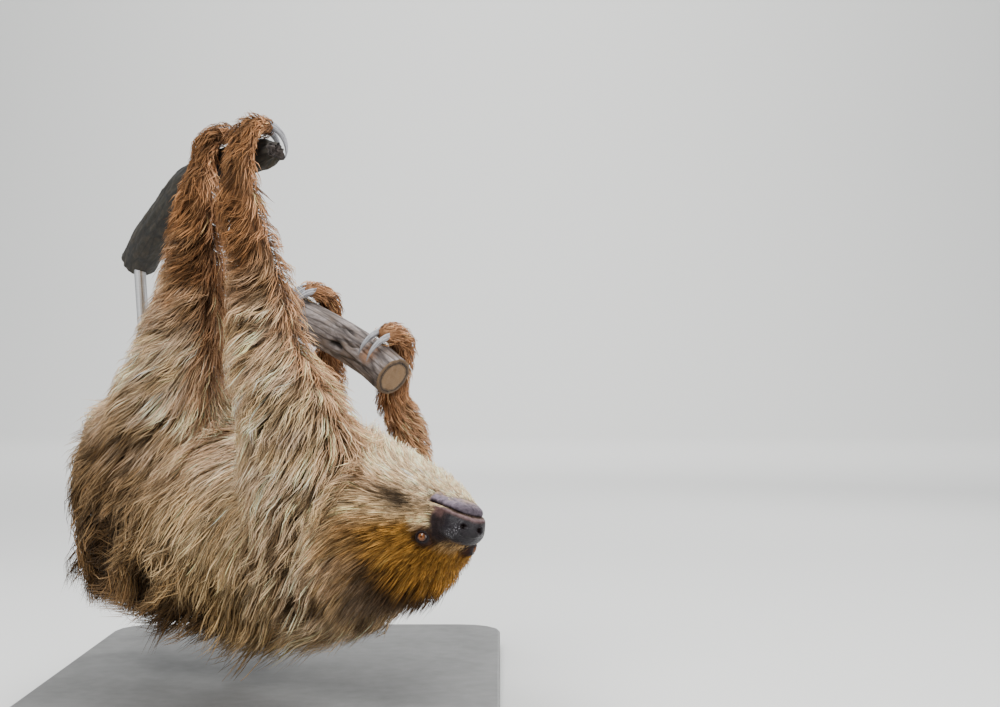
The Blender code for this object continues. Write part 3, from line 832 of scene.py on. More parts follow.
class LimbForm(Form):
    """One limb, from inside the trunk to the digits that hook over a branch."""

    PALM_ROOM = 0.0018
    DIGITS = ((172, 1.0), (138, 1.05), (106, 0.95), (84, 0.74))
    DOMES = (0.02, 0.004)
    SIZES = [3, 4, 4]

    def __init__(self, plan: LimbPlan) -> None:
        """Routes the limb through its joints and round the branch."""
        self.plan = plan
        self.outer = np.array(plan.outer)
        grip, palm = plan.grip, plan.palm
        hold = grip.radius + self.PALM_ROOM
        wide, thick, drop, along = plan.wrist
        rows = [[*point, *sizes] for point, *sizes in plan.joints]
        rows.append([*grip.place(-(hold + thick), -drop, along), wide, thick])
        for turn, scale in self.DIGITS:
            reach, way = hold + palm[1] * scale, math.radians(turn)
            shift = along * max(0.0, (turn - 90) / 130)
            point = grip.place(reach * math.cos(way), reach * math.sin(way), shift)
            rows.append([*point, palm[0] * scale, palm[1] * scale])
        route = Route(rows)
        self.wrist_at = route.knots[len(plan.joints)]
        super().__init__(route, self.DOMES)

    def frames(self, stops: Array, rows: Array, ahead: Array) -> tuple:
        """The width's way turns from the root's way to lie along the branch."""
        share = np.minimum(stops / self.wrist_at, 1.0)[:, None]
        side = unit(np.array(self.plan.root_way)) * (1 - share) + self.plan.grip.along * share
        side = squared(side, ahead)
        return side, np.cross(ahead, side)

    def depths(self, stops: Array) -> Array:
        """The coat thins from the root to the elbow, the wrist and the digits."""
        knots = (0.0, 0.55 * self.wrist_at, self.wrist_at, self.total)
        return np.stack([np.interp(stops, knots, self.plan.coats)] * 3, axis=1)

    def lie(self, spot: Spot) -> Array:
        """Combed down towards the body, and round from the inner to the outer edge."""
        hand = ramp(self.wrist_at - 0.02, self.wrist_at + 0.02, spot.along)[:, None]
        high = ramp(0.35, 0.7, spot.along / self.wrist_at)[:, None]
        way = -(0.8 - 0.3 * high) * spot.ahead + self.outer * (0.8 + 0.45 * high) + DOWN * 0.25
        return way * (1 - hand) + (-spot.ahead + 0.35 * self.outer) * hand

    def gaps(self, along: Array, turn: Array) -> Array:
        """More open locks towards the root."""
        return 0.4 + 0.55 * ramp(0.48, 0.12, along / self.wrist_at)

    def tone(self, spot: Spot, points: Array) -> Array:
        """Russet at the hand, tan and cream to the root, rust along the inner edge."""
        far = spot.along / self.wrist_at
        fine = lattice(points, 0.016, 11)
        bands = lattice(points * (1.0, 1.0, 1.9), 0.02, 13)
        if self.plan.side is Side.RIGHT:
            base = mix(FUR.fawn, FUR.apricot, ramp(0.0, 0.45, far + 0.1 * fine))
            base = mix(base, FUR.rust, ramp(0.8, 1.0, far))
            return mix(base, FUR.russet, 0.3 * ramp(0.0, 0.8, bands))
        light = mix(FUR.tan, FUR.belly, ramp(-0.6, 0.5, bands))
        if self.plan.names[2] == "foot":
            light = mix(light, FUR.brown, 0.85 * ramp(0.48, 0.2, far + 0.1 * bands))
        base = mix(light, FUR.russet, ramp(0.5, 0.92, far + 0.12 * fine))
        facing = spot.normal @ unit(self.outer)
        inner = ramp(0.15, 0.75, -facing + 0.25 * fine) * ramp(0.05, 0.35, far)
        return mix(base, mix(FUR.apricot, FUR.rust, ramp(0.55, 0.95, far)), 0.8 * inner)


# ----------------------------------------------------------------------- branches

UPPER_BRANCH = (
    ((0.0297, -0.25, 0.508), 0.0125), ((0.0163, -0.2326, 0.5073), 0.0132),
    ((-0.0215, -0.1836, 0.5055), 0.0145), ((-0.066, -0.122, 0.494), 0.0165),
    ((-0.101, -0.05, 0.472), 0.0185), ((-0.135, 0.02, 0.448), 0.0195),
    ((-0.153, 0.062, 0.434), 0.0195),
)
LOWER_BRANCH = (
    ((0.1192, -0.0965, 0.3139), 0.019), ((0.102, -0.08, 0.328), 0.019),
    ((0.064, -0.0505, 0.351), 0.019), ((0.026, -0.021, 0.371), 0.019),
    ((0.002, 0.035, 0.385), 0.019), ((-0.02, 0.1, 0.391), 0.0185),
    ((-0.04, 0.165, 0.393), 0.0185),
)


@dataclass(frozen=True)
class BarkFinish:
    """Weathered bark: two tones in long streaks, cracks with painted shade, pale lichen, a stain, and
    painted shade in the deep dents.
    """

    name: str
    deep: tuple
    mid: tuple
    light: tuple
    moss: tuple
    stain: tuple = (0.3, 0.15, 0.075)
    stain_place: tuple = (0.0, 0.0, -1.0)
    # Painted shade in the deep dents.
    pit: tuple = (0.01, 0.007, 0.005)
    # Painted shade along the cracks.
    crevice: tuple = (0.1, 0.08, 0.07)

    def material(self) -> Material:
        """Makes the bark from 'grain', which runs along the branch, and 'hollow', a share of painted
        shade in the deep dents.
        """
        made = Nodes(self.name, self.mid, 0.9)
        grain = made.attribute("grain")
        streak = made.noise(made.stretched(grain, (1, 1, 0.3)), 210.0, 6.0, 0.62, 0.4)
        patch = made.noise(grain, 38.0, 4.0, 0.6)
        crack = made.cells(made.stretched(grain, (1, 1, 0.13)), 120.0, "DISTANCE_TO_EDGE")
        body = made.band(streak, (0.34, self.deep), (0.5, self.mid), (0.66, self.light))
        body = made.blend(made.band(patch, (0.5, 0.0), (0.68, 0.7)), body, self.moss)
        gap = made.add("VectorMath", "Value", {0: grain, 1: self.stain_place}, operation="DISTANCE")
        near = made.maths("ADD", made.times(gap, 55.0), made.times(streak, 0.5))
        body = made.blend(made.band(near, (0.45, 0.85), (0.95, 0.0)), body, self.stain)
        # Painted shade: deep dents darken towards near-black.
        body = made.blend(made.parts(made.attribute("hollow"))[0], body, self.pit)
        # Painted shade: the bark darkens along the edges of its cracks.
        edge = made.band(crack, (0.0, self.crevice), (0.13, 1.0))
        made.feed("Base Color", made.blend(0.8, body, edge, "MULTIPLY"))
        made.rough(streak, 0.75, 0.98)
        made.bump(crack, 0.45, 0.0014)
        made.bump(streak, 0.5, 0.0011)
        made.bump(made.noise(grain, 900.0, 3.0), 0.25, 0.0004)
        return made.material


@dataclass(frozen=True)
class SawnFinish:
    """The sawn or broken end of a branch: rings of wood inside a dark rim of bark."""

    name: str
    wood: tuple
    ring: tuple
    rim: tuple

    def material(self) -> Material:
        """Makes the wood from 'disc', whose third number is the share of the radius."""
        made = Nodes(self.name, self.wood, 0.85)
        disc = made.attribute("disc")
        blotch = made.noise(disc, 260.0, 4.0, 0.6)
        torn = made.noise(disc, 120.0, 3.0, 0.6)
        out = made.maths("ADD", made.parts(disc)[2], made.times(torn, 0.5))
        wave = made.maths("SINE", made.times(out, 58.0))
        rings = made.maths("ADD", made.times(wave, 0.06), blotch)
        body = made.band(rings, (0.25, self.ring), (0.75, self.wood))
        body = made.blend(made.band(blotch, (0.48, 0.0), (0.62, 0.55)), body, self.ring)
        edge = made.band(made.times(out, 0.8), (0.77, 0.0), (0.8, 1.0), (0.87, 1.0), (0.93, 0.35))
        made.feed("Base Color", made.blend(edge, body, self.rim))
        made.bump(rings, 0.15, 0.0004)
        made.bump(blotch, 0.8, 0.0022)
        return made.material


@dataclass
class Perch:
    """A short cut length of branch, swelling and cracked, with closed ends.

    Each of the dents has its place along, its angle, its length, width and depth.
    broken is how torn the ends are.
    """

    name: str
    route: tuple
    bark: BarkFinish
    sawn: SawnFinish
    seed: int
    dents: tuple = ()
    broken: float = 0.0
    rows: int = 200
    columns: int = 100
    rings: int = 14
    relief: float = 0.00055

    def radius(self, along: Array, turn: Array, base: Array) -> Array:
        """Radius round the branch.

        The route's radius, plus slow swells, long ridges that wander along the
        branch, and dents, each a bell curve along and round.
        """
        spot = circle(turn, base, along)
        swell = 0.0006 * lattice(spot, 0.035, self.seed)
        ridge = lattice(spot * (1.0, 1.0, 0.16), 0.0042, self.seed + 1)
        fine = lattice(spot * (1.0, 1.0, 0.3), 0.0017, self.seed + 2)
        out = base + swell + self.relief * (ridge - 0.5) + 0.45 * self.relief * fine
        for place, way, long, wide, deep in self.dents:
            gap = np.angle(np.exp(1j * (turn - way)))
            wander = 0.0015 * lattice(spot * (0.0, 0.0, 1.0), 0.006, self.seed + 3)
            out -= deep * hump(along, place, long) * hump(gap * base + wander, 0.0, wide)
        worn = 0.5 + 0.5 * lattice(spot, 0.007, self.seed + 4)
        return out - self.broken * base * hump(along, 0.0, 0.011) * worn

    def build(self) -> None:
        """Carries the wandering oval along the route and closes both ends with discs."""
        line = Route([[*point, radius] for point, radius in self.route])
        stops = np.linspace(0.0, line.knots[-1], self.rows)
        rows, ahead = line.at(stops), line.ahead(stops)
        side = unit(np.cross(ahead, (0.0, 0.0, 1.0)))
        up = np.cross(side, ahead)
        s, t = rounds(stops, self.columns)
        base = np.repeat(rows[:, 3:4], self.columns, axis=1)
        radius = self.radius(s.ravel(), t.ravel(), base.ravel()).reshape(s.shape)
        ring = side[:, None] * np.cos(t)[..., None] + up[:, None] * np.sin(t)[..., None]
        wall = rows[:, None, :3] + ring * radius[..., None]
        ends = [self.cap(wall[k], rows[k], ahead[k] * sign, t[0], self.seed + k)
                for k, sign in ((0, -1.0), (self.rows - 1, 1.0))]
        (first, first_disc), (last, last_disc) = ends
        count = self.rows * self.columns
        quads = grid_faces(self.rows, self.columns, True)[:, ::-1]
        first_faces = self.cap_faces(count, 0)
        last_faces = self.cap_faces(count + len(first), count - self.columns)
        faces = [np.concatenate([near, far[:, ::-1]]) for near, far in zip(first_faces, last_faces)]
        faces[0] = np.concatenate([quads, faces[0]])
        made = mesh_object(self.name + "_bark", np.concatenate([wall.reshape(-1, 3), first, last]), faces)
        for name, third in (("grain", s), ("disc", 1.0)):
            flat = circle(t, base, third).reshape(-1, 3)
            paint(made, name, np.concatenate([flat, first_disc, last_disc]))
        hollow = np.zeros((len(made.data.vertices), 3))
        if not self.broken:
            # Painted shade: dents deeper than about 1.4 mm darken towards near-black.
            hollow[:count] = 0.92 * ramp(0.0014, 0.0034, (base - radius).reshape(-1, 1))
        paint(made, "hollow", hollow)
        dress(made, "bark", self.bark.material(), self.name)
        made.data.materials.append(self.sawn.material())
        slots = np.arange(len(made.data.polygons)) >= len(quads)
        made.data.polygons.foreach_set("material_index", slots.astype(np.int32))

    def cap(self, rim: Array, row: Array, out: Array, turns: Array, seed: int) -> tuple:
        """The rough disc that closes an end.

        Rings shrink from the rim to the middle; each place stands out from the
        flat by a small random height that is nothing at the rim.

        Args:
            rim: Last ring of the wall.
            row: Middle of the end and its radius.
            out: Way that the end faces.
            turns: Angles of the ring's places.
            seed: Picks the roughness.

        Returns:
            Places, and their disc coordinates with the share of the radius.
        """
        centre, places, discs = row[:3], [], []
        for share in np.linspace(1.0, 0.0, self.rings + 1)[1:-1]:
            flat = circle(turns, share * row[3], share)
            bumps = (0.0007 + 0.006 * self.broken) * lattice(flat * (1, 1, 0.01) + seed, 0.004, seed)
            step = 0.0008 * math.sin(math.pi * min(1.0, 6 * (1 - share)) / 2)
            places.append(centre + (rim - centre) * share + out * (bumps + step)[:, None])
            discs.append(flat)
        return (np.concatenate([*places, (centre + out * 0.0008)[None]]),
                np.concatenate([*discs, np.zeros((1, 3))]))

    def cap_faces(self, start: int, rim: int) -> list:
        """Faces from a ring of the wall over a cap's rings to its middle."""
        n = self.columns
        index = np.concatenate([rim + np.arange(n), start + np.arange(n * (self.rings - 1) + 1)])
        return [index[part] for part in tipped_faces(self.rings, n)]


# -------------------------------------------------------------------------- claws


@dataclass(frozen=True)
class HornFinish:
    """Pale grey horn with long darker streaks and a soft gloss."""

    light: tuple = (0.3, 0.3, 0.315)
    dark: tuple = (0.075, 0.07, 0.075)
    roughness: float = 0.34

    def material(self) -> Material:
        """Makes the horn from 'grain', whose third number runs along the claw."""
        made = Nodes("claw_horn", self.light, self.roughness, Coat_Weight=0.25, Coat_Roughness=0.2)
        grain = made.attribute("grain")
        streak = made.noise(made.stretched(grain, (1, 1, 0.1)), 900.0, 4.0, 0.6)
        cloud = made.band(made.noise(grain, 120.0, 3.0), (0.45, 0.0), (0.75, 0.6))
        body = made.band(streak, (0.36, self.dark), (0.56, self.light))
        made.feed("Base Color", made.blend(cloud, body, self.dark))
        made.rough(streak, 0.28, 0.5)
        made.bump(streak, 0.25, 0.0003)
        return made.material


@dataclass
class Claws:
    """The long hooked claws of one hand or foot."""

    plan: LimbPlan
    rows: int = 60
    columns: int = 20
    length: float = 0.055

    def build(self, finish: Material) -> None:
        """Winds a tapering oval with a keel along its back over the branch.

        The middle line turns steadily round the branch while its distance goes
        from the first to the last reach, as the turn's share to the power 1.3.
        The size falls as 1 - 0.9 t^1.8.
        """
        grip = self.plan.grip
        start, end, first, last, wide, high = self.plan.hook
        t, around = rounds(np.linspace(0.0, 1.0, self.rows), self.columns)
        turn = np.radians(start + (end - start) * t)
        reach = first + (last - first) * t**1.3
        outward = grip.out * np.cos(turn)[..., None] + grip.up * np.sin(turn)[..., None]
        taper = np.maximum(1.0 - 0.9 * t**1.8, 0.02)
        keel = 1.0 + 0.22 * np.clip(np.cos(around), 0.0, 1.0) ** 6 - 0.1 * np.abs(np.sin(around))
        lift = outward * (reach + np.cos(around) * high * taper * keel)[..., None]
        grain = np.stack([np.cos(around) * high, np.sin(around) * wide, t * self.length], -1)
        grain = np.concatenate([grain.reshape(-1, 3), [(0, 0, 0), (0, 0, self.length)]])
        for number, along in enumerate(self.plan.claws, 1):
            name = self.plan.solids[2] + "_claw_" + str(number)
            sway = grip.along * (along + np.sin(around) * wide * taper)[..., None]
            points = closed_points(grip.centre + sway + lift, self.rows)
            made = mesh_object("horn_" + name, points, closed_faces(self.rows, self.columns), True)
            paint(made, "grain", grain)
            dress(made, "claw_horn", finish, name)


# --------------------------------------------------------------------------- face


@dataclass(frozen=True)
class EyePlan:
    """Place, size and opening of the eyes, along the head's axes."""

    right: float = 0.021
    back: float = -0.0366
    crown: float = 0.0114
    radius: float = 0.0066
    gaze: tuple = (0.7, 0.66, 0.16)
    slant: tuple = (-0.45, 0.85, -0.15)
    long: float = 0.0047
    high: float = 0.0041
    lid: float = 0.0005

    def ways(self, sign: float) -> tuple:
        """The eye's middle, its gaze, and the long and high ways of its opening."""
        flip = np.array((sign, 1.0, 1.0))
        gaze = unit(flip * self.gaze) @ HEAD.ways
        long = squared(flip * self.slant @ HEAD.ways, gaze)
        middle = HEAD.point(sign * self.right, self.back, self.crown)
        return middle, gaze, long, np.cross(gaze, long)

    def measure(self, points: Array, sign: float) -> tuple:
        """The gaze, and places' depth along it and distance beside it, plain and in openings."""
        middle, gaze, long, high = self.ways(sign)
        away = points - middle
        a, b = away @ long, away @ high
        return gaze, away @ gaze, np.hypot(a, b), np.hypot(a / self.long, b / self.high)


EYE = EyePlan()


@dataclass
class Face:
    """The bare and short-haired face, from the nose back to the brow."""

    body: BodyForm
    rows: int = 190
    columns: int = 300
    start: float = -0.00299
    end: float = 0.066
    mouth_front: tuple = (0.006, -0.0084)
    mouth_corner: tuple = (-0.038, -0.0184)
    nostril: tuple = (0.0074, -0.0004)
    nostril_size: tuple = (0.0026, 0.0023)

    def layout(self, points: Array) -> tuple:
        """Where places lie on the face.

        The mouth line goes straight from its front to its corner and sags a
        little between.

        Args:
            points: Places on or near the skin.

        Returns:
            The three distances from the nose tip, the height over the mouth line,
            where that line runs, and the distance from the nostrils in their size.
        """
        right, forward, crown = HEAD.read(points).T
        (f0, c0), (f1, c1) = self.mouth_front, self.mouth_corner
        share = np.clip((forward - f0) / (f1 - f0), 0.0, 1.2)
        level = c0 + (c1 - c0) * share - 0.0012 * np.sin(math.pi * np.clip(share, 0, 1))
        offset = np.hypot((np.abs(right) - self.nostril[0]) / self.nostril_size[0],
                          (crown - self.nostril[1]) / self.nostril_size[1])
        return right, forward, crown, crown - level, ramp(-0.04, -0.035, forward), offset

    def plain(self, along: Array, turn: Array) -> Array:
        """The form's own surface, squared a little at the muzzle, as a superellipse is."""
        power = 2.3 - 0.3 * ramp(0.016, 0.04, along)
        across, down = np.abs(np.cos(turn)), np.abs(np.sin(turn))
        boxy = (across**power + down**power) ** (-1.0 / power)
        centre, ahead, *_ = self.body.look(along)
        base = centre + ahead * np.minimum(along, 0.0)[:, None]
        return base + (self.body.surface(along, turn) - base) * boxy[:, None]

    def marks(self, points: Array) -> dict:
        """Masks of the face's parts, from the places alone.

        Each is a product of smooth steps and bell curves of a place's distances
        from the nose tip and from the mouth line, and of its distance from the
        eyes' middle lines, in sizes of their openings.

        Args:
            points: Places on or near the skin.

        Returns:
            A share for each place, by name.
        """
        right, forward, crown, gap, here, offset = self.layout(points)
        eyes = [EYE.measure(points, sign) for sign in BOTH_SIDES]
        lid = np.minimum(*(np.where(depth > -0.003, ratio, 9.0) for _, depth, _, ratio in eyes))
        rough = 0.002 * lattice(points, 0.004, 23)
        fuzz = 0.001 * lattice(points, 0.0011, 24)
        torn = 0.0005 * lattice(points, 0.0028, 25)
        uneven = forward + rough
        bridge = 0.0112 - 0.3 * (forward + 0.0125)
        spot = np.hypot(np.abs(right) - 0.0118, crown - 0.0048)
        wide = 0.0009 + 0.0013 * hump(forward, -0.034, 0.006)
        top = 1.0 - ramp(-0.002, 0.004, crown - bridge + fuzz)
        return {
            "nose": ramp(-0.019, -0.008, uneven) * ramp(0.002, 0.0048, gap),
            "pit": ramp(1.05, 0.6, offset) * ramp(-0.009, -0.007, forward),
            "lid": 1.0 - ramp(1.4, 2.45, lid + 120.0 * rough + 160.0 * fuzz),
            "rim": 1.0 - ramp(1.1, 1.6, lid),
            "open": 1.0 - ramp(1.12, 1.5, lid),
            "groove": hump(gap, -0.0002 + torn, wide) * here,
            "muzzle": ramp(-0.0365, -0.0225, uneven + 1.6 * fuzz) * ramp(0.0006, 0.002, gap) * top,
            "deep": ramp(0.004, 0.012, gap + 0.5 * rough),
            "lip": here * ramp(0.0, -0.0006, gap) * ramp(-0.0128, -0.0052, gap + rough + fuzz),
            "chin": ramp(-0.016, 0.0, uneven) + ramp(-0.004, 0.0, gap + rough),
            "edge": here * hump(gap, 0.0017 + torn, 0.0008),
            # White specks round the nostrils: partly dust and partly painted highlight on the wet nose.
            "dust": ramp(0.0055, 0.0005, spot + 2.0 * rough) * ramp(-0.013, -0.01, forward),
        }

    def relief(self, along: Array, points: Array) -> Array:
        """How far the face's features stand out.

        Nostrils are pits with raised rims, the mouth is a groove between two
        soft lips, and the nose's edge and the muzzle's folds are shallow waves.
        """
        right, forward, crown, gap, here, offset = self.layout(points)
        masks = self.marks(points)
        lips = 0.0007 * hump(gap, 0.0026, 0.0016) + 0.0012 * hump(gap, -0.0038, 0.0024)
        push = -0.003 * masks["groove"] + lips * here + 0.0006 * masks["nose"]
        push -= 0.0004 * hump(forward, -0.015, 0.0016) * ramp(0.002, 0.005, gap)
        middle = ramp(-0.004, 0.001, forward) * ramp(0.0, -0.004, crown)
        push -= 0.0003 * hump(right, 0.0, 0.001) * middle
        bare_side = ramp(-0.034, -0.028, forward) * ramp(-0.0085, -0.016, forward)
        folds = lattice(points, 0.0016, 21) + 0.6 * lattice(points, 0.0007, 26)
        push += 0.00022 * folds * (0.3 + bare_side) * masks["muzzle"] + 0.0003 * folds * masks["lip"]
        push += 0.0003 * lattice(points, 0.006, 22) * ramp(0.0, 0.02, along)
        pit = 0.0042 * ramp(1.05, 0.5, offset) - 0.0006 * hump(offset, 1.3, 0.38)
        return push - pit * ramp(-0.0045, -0.0005, forward)

    def shape(self, along: Array, turn: Array) -> Array:
        """The face with its features.

        Round each eye the skin follows the ball, opens over it and rolls at the
        rim. Lid and face join by the smooth larger of two heights a and b,
        (a + b + root((a - b)^2 + k^2)) / 2.

        Args:
            along: Distance from the nose.
            turn: Angle round the head.

        Returns:
            One place for each pair.
        """
        step, twist = 2e-4, 2e-3
        points = self.plain(along, turn)
        run = self.plain(along + step, turn) - self.plain(along - step, turn)
        normal = unit(np.cross(run, self.plain(along, turn + twist) - self.plain(along, turn - twist)))
        normal = np.where((along < -0.0024)[:, None], HEAD.forward, normal)
        points = points + normal * self.relief(along, points)[:, None]
        shell, bend, melt = EYE.radius + EYE.lid, 0.0056, 0.0012
        for sign in BOTH_SIDES:
            gaze, depth, wide, ratio = EYE.measure(points, sign)
            past = np.maximum(wide - bend, 0.0)
            over = np.sqrt(shell**2 - np.minimum(wide, bend) ** 2)
            over -= past * bend / math.sqrt(shell**2 - bend**2) + 90.0 * past**2
            lid = 0.5 * (depth + over + np.sqrt((depth - over) ** 2 + melt**2))
            lid += 0.0003 * hump(ratio, 1.08, 0.14)
            lid += 0.00022 * np.sin(ratio * 11.0) * hump(ratio, 1.6, 0.3)
            lid += (depth - lid) * ramp(1.55, 2.25, ratio)
            ball = 0.4 * np.sqrt(np.clip(EYE.radius**2 - wide**2, 0.0, None))
            wanted = ball + (lid - ball) * ramp(0.86, 1.02, ratio)
            near = (wide < 0.03) & (depth > -0.012)
            points = points + gaze * np.where(near, wanted - depth, 0.0)[:, None]
        return points

    def bare(self, masks: dict) -> Array:
        """Share of the skin that shows, from none under the coat to all on the nose."""
        parts = [masks[name] for name in ("nose", "open", "lip", "groove")]
        return np.clip(np.max([*parts, masks["muzzle"] ** 3], axis=0), 0.0, 1.0)

    def build(self) -> tuple:
        """Places and faces of the closed face, its grid closest at the nose and the eyes."""
        eye = 0.52
        along = spaced(self.start, self.end, self.rows, ((0.0, 0.01, 1.2), (0.0385, 0.008, 1.8)))
        turn = spaced(-math.pi, math.pi, self.columns + 1, (
            (eye, 0.34, 1.9), (math.pi - eye, 0.34, 1.9), (-1.9, 0.5, 0.4), (-1.2, 0.5, 0.4)))
        s, t = (part.ravel() for part in np.meshgrid(along, turn[:-1], indexing="ij"))
        points = self.shape(s, t)
        sink = SINK * ramp(0.056, self.end, s)
        points = points - unit(points - self.body.look(s)[0]) * sink[:, None]
        return closed_points(points, self.rows), closed_faces(self.rows, self.columns)


@dataclass(frozen=True)
class EyeFinish:
    """Wet brown eye: small pupil, amber iris with fine rays, dark rim and dark white."""

    iris: tuple = (0.07, 0.02, 0.004)
    rays: tuple = (0.17, 0.056, 0.011)
    rim: tuple = (0.01, 0.004, 0.003)
    white: tuple = (0.02, 0.01, 0.008)
    roughness: float = 0.06

    def material(self) -> Material:
        """Makes the eye from 'gaze', the place in the eye's own ways, in radii."""
        made = Nodes("eye_glass", self.iris, self.roughness, Coat_Weight=0.32, Coat_Roughness=0.02,
                     Specular_IOR_Level=0.15)
        x, y, _ = made.parts(made.attribute("gaze"))
        out = made.maths("SQRT", made.maths("ADD", made.times(x, x), made.times(y, y)))
        angle = made.maths("ARCTAN2", y, x)
        spoke = made.add("CombineXYZ", 0, {0: made.times(angle, 9.0), 1: made.times(out, 3.0)})
        iris = made.band(made.noise(spoke, 2.4, 3.0), (0.35, self.iris), (0.65, self.rays))
        ring = made.band(out, (0.08, 0.0), (0.17, 1.0), (0.3, 0.9), (0.56, 0.0))
        body = made.blend(ring, self.rim, iris)
        outer = made.band(out, (0.6, 0.0), (0.7, 1.0))
        made.feed("Base Color", made.blend(outer, body, self.white))
        return made.material


@dataclass
class Eye:
    """One eyeball with a raised cornea."""

    name: str
    sign: float
    rows: int = 46
    columns: int = 64
    swell: float = 0.075

    def build(self, finish: Material) -> None:
        """A ball whose radius swells by a bell curve over the iris."""
        middle, gaze, long, high = EYE.ways(self.sign)
        lean, turn = rounds(np.linspace(0.0, math.pi, self.rows + 2)[1:-1], self.columns)
        swell = 1.0 + self.swell * hump(lean, 0.0, 0.52)
        local = (circle(turn, np.sin(lean), np.cos(lean)) * swell[..., None]).reshape(-1, 3)
        local = np.concatenate([local, [(0, 0, 1.0 + self.swell), (0, 0, -1.0)]])
        points = middle + EYE.radius * (local @ np.stack([long, high, gaze]))
        made = mesh_object(self.name + "_ball", points, closed_faces(self.rows, self.columns), True)
        paint(made, "gaze", local)
        dress(made, "eye_glass", finish, self.name)


# ----------------------------------------------------------------- flesh and skin

REACH_FAR = (0.77, 0.63, 0.0)
REACH_NEAR = (-0.7, -0.72, 0.0)
LIMBS = (
    LimbPlan(
        ("upper_arm", "forearm", "hand"), Side.LEFT, Grip(UPPER_BRANCH, 1, REACH_FAR),
        (((0.07, -0.16, 0.128), 0.048, 0.029), ((0.056, -0.192, 0.2), 0.056, 0.042),
         ((0.039, -0.203, 0.27), 0.054, 0.042),
         ((0.018, -0.214, 0.343), 0.037, 0.034), ((0.011, -0.236, 0.417), 0.025, 0.024)),
        (0.019, 0.017, 0.032, 0.014), (1.0, -0.2, 0.0), (0.0165, 0.01),
        (-0.006, 0.006), (118, -8, 0.0265, 0.0185, 0.0034, 0.004),
        (-0.85, 0.1, 0.0), (0.021, 0.015, 0.0075, 0.0022),
    ),
    LimbPlan(
        ("thigh", "shin", "foot"), Side.LEFT, Grip(UPPER_BRANCH, 2, REACH_FAR),
        (((-0.108, -0.022, 0.162), 0.05, 0.038), ((-0.111, -0.06, 0.23), 0.057, 0.049),
         ((-0.093, -0.095, 0.298), 0.049, 0.042),
         ((-0.068, -0.13, 0.365), 0.0375, 0.034), ((-0.054, -0.17, 0.415), 0.0285, 0.027)),
        (0.02, 0.018, 0.036, 0.004), (1.0, -0.2, 0.0), (0.017, 0.0098),
        (-0.0085, 0.0, 0.0085), (118, 10, 0.028, 0.02, 0.0034, 0.0038),
        (-0.85, 0.15, 0.0), (0.024, 0.0165, 0.0075, 0.0022),
    ),
    LimbPlan(
        ("upper_arm", "forearm", "hand"), Side.RIGHT, Grip(LOWER_BRANCH, 1, REACH_NEAR),
        (((0.115, -0.095, 0.18), 0.029, 0.029), ((0.13, -0.006, 0.17), 0.024, 0.024),
         ((0.133, 0.03, 0.204), 0.021, 0.02), ((0.128, 0.012, 0.256), 0.021, 0.0205)),
        (0.0185, 0.0165, 0.033, 0.0), (0.6, -0.2, -0.7), (0.016, 0.011),
        (-0.006, 0.006), (112, 14, 0.0315, 0.0208, 0.0034, 0.004),
        (0.45, 0.6, 0.0), (0.011, 0.008, 0.006, 0.0022),
    ),
    LimbPlan(
        ("thigh", "shin", "foot"), Side.RIGHT, Grip(LOWER_BRANCH, 3, REACH_NEAR),
        (((-0.075, 0.03, 0.21), 0.038, 0.038), ((-0.01, 0.056, 0.214), 0.034, 0.033),
         ((0.033, 0.052, 0.24), 0.0265, 0.026), ((0.041, 0.027, 0.292), 0.022, 0.0215)),
        (0.018, 0.0165, 0.033, 0.0), (0.6, -0.2, -0.7), (0.017, 0.0095),
        (-0.008, 0.0, 0.008), (112, 8, 0.03, 0.0208, 0.0032, 0.0036),
        (0.3, 0.7, 0.0), (0.014, 0.0095, 0.006, 0.0022),
    ),
)


@dataclass
class Feel:
    """What the animal's whole body is like near some places."""

    height: Array
    normal: Array
    lie: Array
    coat: Array


class Animal:
    """The body and the four limbs, melted together into one surface."""

    MELT = 0.016
    PART = 0.003

    def __init__(self) -> None:
        """Makes the forms."""
        self.body = BodyForm()
        self.forms = [self.body, *(LimbForm(plan) for plan in LIMBS)]

    def melted(self, heights: Array, size: float) -> tuple:
        """Smooth least of some heights, -size * log of the sum of exp(-height / size).

        Args:
            heights: One row for each form.
            size: How far the forms flow together.

        Returns:
            The smooth least, and the share that each form has in it.
        """
        low = heights.min(axis=0)
        weights = np.exp(-(heights - low) / size)
        total = weights.sum(axis=0)
        return low - size * np.log(total), weights / total

    def weigh(self, points: Array) -> tuple:
        """Height over the whole skin, and each form with where places lie on it and its share.

        The limbs are melted together sharply, so that neighbours stay apart,
        and then widely with the body.
        """
        spots = [form.locate(points) for form in self.forms]
        heights = np.stack([spot.height for spot in spots])
        limb, parts = self.melted(heights[1:], self.PART)
        height, both = self.melted(np.stack([heights[0], limb]), self.MELT)
        shares = np.concatenate([both[:1], parts * both[1]])[..., None]
        return height, list(zip(self.forms, spots, shares))

    def feel(self, points: Array) -> Feel:
        """Height over the melted skin, and the blended normal, lie and depth of the coat."""
        height, parts = self.weigh(points)
        normal = unit(sum(spot.normal * share for _, spot, share in parts))
        lie = sum(form.lie(spot) * share for form, spot, share in parts)
        coat = sum(spot.coat * share[:, 0] for _, spot, share in parts)
        return Feel(height, normal, lie, coat)

    def tone(self, points: Array) -> Array:
        """Outer colour of the coat, blended between the forms."""
        return sum(form.tone(spot, points) * share for form, spot, share in self.weigh(points)[1])

    def settle(self, points: Array) -> Array:
        """Moves places along the normal, twice, until they lie on the melted skin."""
        for _ in range(2):
            felt = self.feel(points)
            points = points - felt.normal * felt.height[:, None]
        return points


